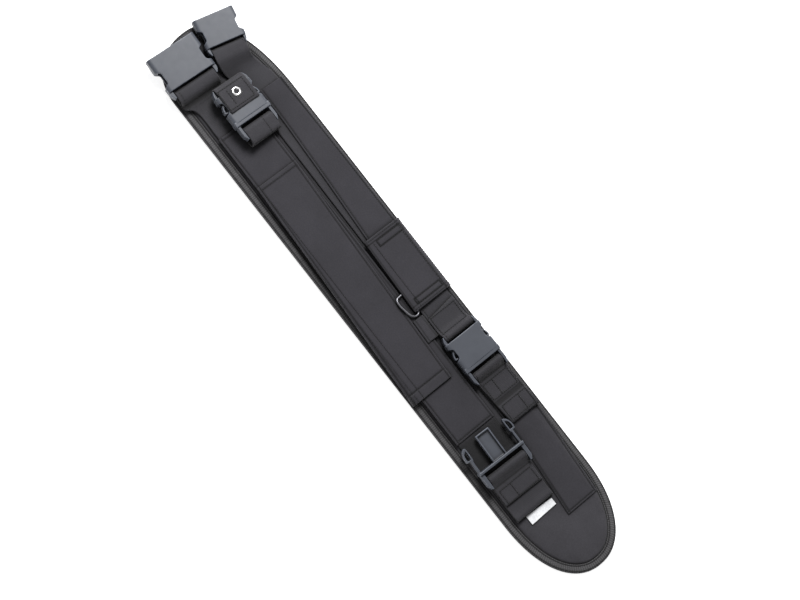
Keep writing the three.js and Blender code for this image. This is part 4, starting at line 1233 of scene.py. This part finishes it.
CAMERA = {"target": (7.1, 3.8, 8), "back": (0, -0.277, 0.961), "turn": 52, "away": 2.003}


def camera():
    data = bpy.data.cameras.new("camera")
    data.lens, data.sensor_width = 85, 36
    obj = bpy.data.objects.new("camera", data)
    bpy.context.collection.objects.link(obj)
    target = Vector(CAMERA["target"]) * MM
    back = Vector(CAMERA["back"]).normalized()
    level = Vector((1, 0, 0))
    rise = back.cross(level)
    turn = math.radians(CAMERA["turn"])
    right = math.cos(turn) * level + math.sin(turn) * rise
    up = -math.sin(turn) * level + math.cos(turn) * rise
    basis = Matrix((right, up, back)).transposed().to_4x4()
    obj.matrix_world = Matrix.Translation(target + back * CAMERA["away"]) @ basis
    bpy.context.scene.camera = obj


def light(name, way, size, energy, distance=2.4):
    data = bpy.data.lights.new(name, "AREA")
    data.size, data.energy = size, energy
    obj = bpy.data.objects.new(name, data)
    bpy.context.collection.objects.link(obj)
    way = Vector(way).normalized()
    obj.location = way * distance
    obj.rotation_euler = way.to_track_quat("Z", "Y").to_euler()


FLOOR_REACH = 30  # in metres


def stage():
    mesh = bpy.data.meshes.new("floor")
    corners = [(x * FLOOR_REACH, y * FLOOR_REACH, 0) for x, y in ((-1, -1), (1, -1), (1, 1), (-1, 1))]
    mesh.from_pydata(corners, [], [(0, 1, 2, 3)])
    floor = bpy.data.objects.new("floor", mesh)
    bpy.context.collection.objects.link(floor)
    material, _, body = shader("floor_paper", 0.9, 0.2)
    body.inputs["Emission Color"].default_value = (1, 1, 1, 1)
    body.inputs["Emission Strength"].default_value = 0.75
    body.inputs["Base Color"].default_value = (0.94, 0.94, 0.94, 1)
    mesh.materials.append(material)
    light("key", (-1.15, 0.75, 1.5), 0.9, 88)
    light("fill", (0.7, -0.6, 1.2), 1.4, 5)
    world = bpy.data.worlds.new("world")
    world.use_nodes = True
    world.node_tree.nodes["Background"].inputs["Color"].default_value = (1, 1, 1, 1)
    world.node_tree.nodes["Background"].inputs["Strength"].default_value = 0.25
    bpy.context.scene.world = world
    bpy.context.scene.view_settings.view_transform = "Standard"


# The belt

def build_cloth():
    strap_top = FIRST + WEBBING / 2
    over_strap = [(WAIST_STRAP_ROWS, strap_top)]
    over_band = [(LOWER_BAND, BAND_TOP)]
    face = cloth_material("pad_weave", (0.038, 0.0365, 0.0425), 0.75, 1.1, 0.18, contrast=0.35)
    tape = cloth_material("binding_weave", (0.070, 0.0685, 0.0715), 2.3, 2.0, 0.6, contrast=1.0, turned=True)
    strap = cloth_material("webbing_weave", (0.0255, 0.0245, 0.0295), 1.3, 1.7, 0.4, contrast=0.6, rough=0.7)
    canvas = cloth_material("panel_weave", (0.0285, 0.0272, 0.0328), 0.7, 0.9, 0.2, contrast=0.4)
    paper = cloth_material("label_weave", (0.80, 0.81, 0.83), 0.3, 0.3, 0.05, contrast=0.08, sheen=0.0)
    pieces = {}

    def keep(obj, slot, material, *nodes):
        pieces[obj.name] = finish_piece(obj, material, nodes)
        return obj

    foam = keep(pad(), "pad_fabric", face, "pad")
    keep(binding(), "binding_tape", tape, "edge_binding")
    keep(waist_strap(), "webbing", strap, "waist_strap")
    keep(upper_strap(), "webbing", strap, "upper_strap")
    left, right = middle_straps()
    keep(left, "webbing", strap, "middle_strap_left")
    keep(right, "webbing", strap, "middle_strap_right")
    keep(pole_loop_strap(), "webbing", strap, "tab_strap")
    keep(eyelet_tab(), "webbing", strap, "eyelet_tab")
    keep(panel("ring_tab_webbing", RING_TAB, over_band, 9, relief=0.05), "webbing", strap, "ring_tab")

    band = panel("lower_band_cloth", LOWER_BAND, over_strap, 1, seams=BAND_SEAMS)
    sleeve = panel("lower_sleeve_cloth", LOWER_SLEEVE, over_band, 2, hems=SLEEVE_HEMS, seams=SLEEVE_SEAMS)
    left_band = panel("upper_band_left_cloth", UPPER_BAND_LEFT, [(UPPER_STRAP_ROWS, strap_top)], 3)
    right_band = panel("upper_band_right_cloth", UPPER_BAND_RIGHT, [], 4, seams=[UPPER_SEAM])
    sheets = [
        (band, "lower_band", (0.408, 0.052), "laid"),
        (sleeve, "lower_sleeve", (0.282, 0.052), "laid"),
        (left_band, "upper_band_left", (0.197, 0.036), "laid"),
        (right_band, "upper_band_right", (0.356, 0.0409), "laid"),
        (keeper(), "keeper_sleeve", (0.0916, 0.056), "folded"),
    ]
    for obj, node, flat, held in sheets:
        keep(obj, "panel_fabric", canvas, node)
    tag = keep(label(), "label_cloth", paper, "label")
    return pieces


def build_hard():
    plastic = plastic_material("buckle_plastic", (0.052, 0.0575, 0.0715))
    for node, half, place, size in BUCKLES:
        finish_piece(half(node + "_shell", place, size), plastic, [node])
    finish_piece(d_ring(), metal_material("ring_steel", (0.24, 0.24, 0.26), 0.45), ["d_ring"])
    finish_piece(eyelet(), metal_material("eyelet_nickel", (0.9, 0.9, 0.9), 0.25), ["eyelet"])


def build_stitches(pieces):
    thread = cloth_material("thread", (0.007, 0.007, 0.009), 0.4, 0.5, 0.05, contrast=0.2, rough=0.7)
    surface = Surface([obj for obj in pieces.values() if obj.name != "label_tag"])
    rim = [pad_outline(inset, steps=40, stride=8) for inset in BINDING_STITCHES]
    rim = [np.vstack([outline, outline[:1]]) for outline in rim]
    rim_thread = stitches("binding_thread", surface, rim, pitch=3.0, length=2.1, radius=0.4)
    finish_piece(rim_thread, thread)
    finish_piece(stitches("panel_thread", surface, PANEL_LINES), thread)
    finish_piece(stitches("webbing_thread", surface, STRAP_LINES, radius=0.6), thread)


camera()
stage()
cloth_pieces = build_cloth()
build_hard()
build_stitches(cloth_pieces)
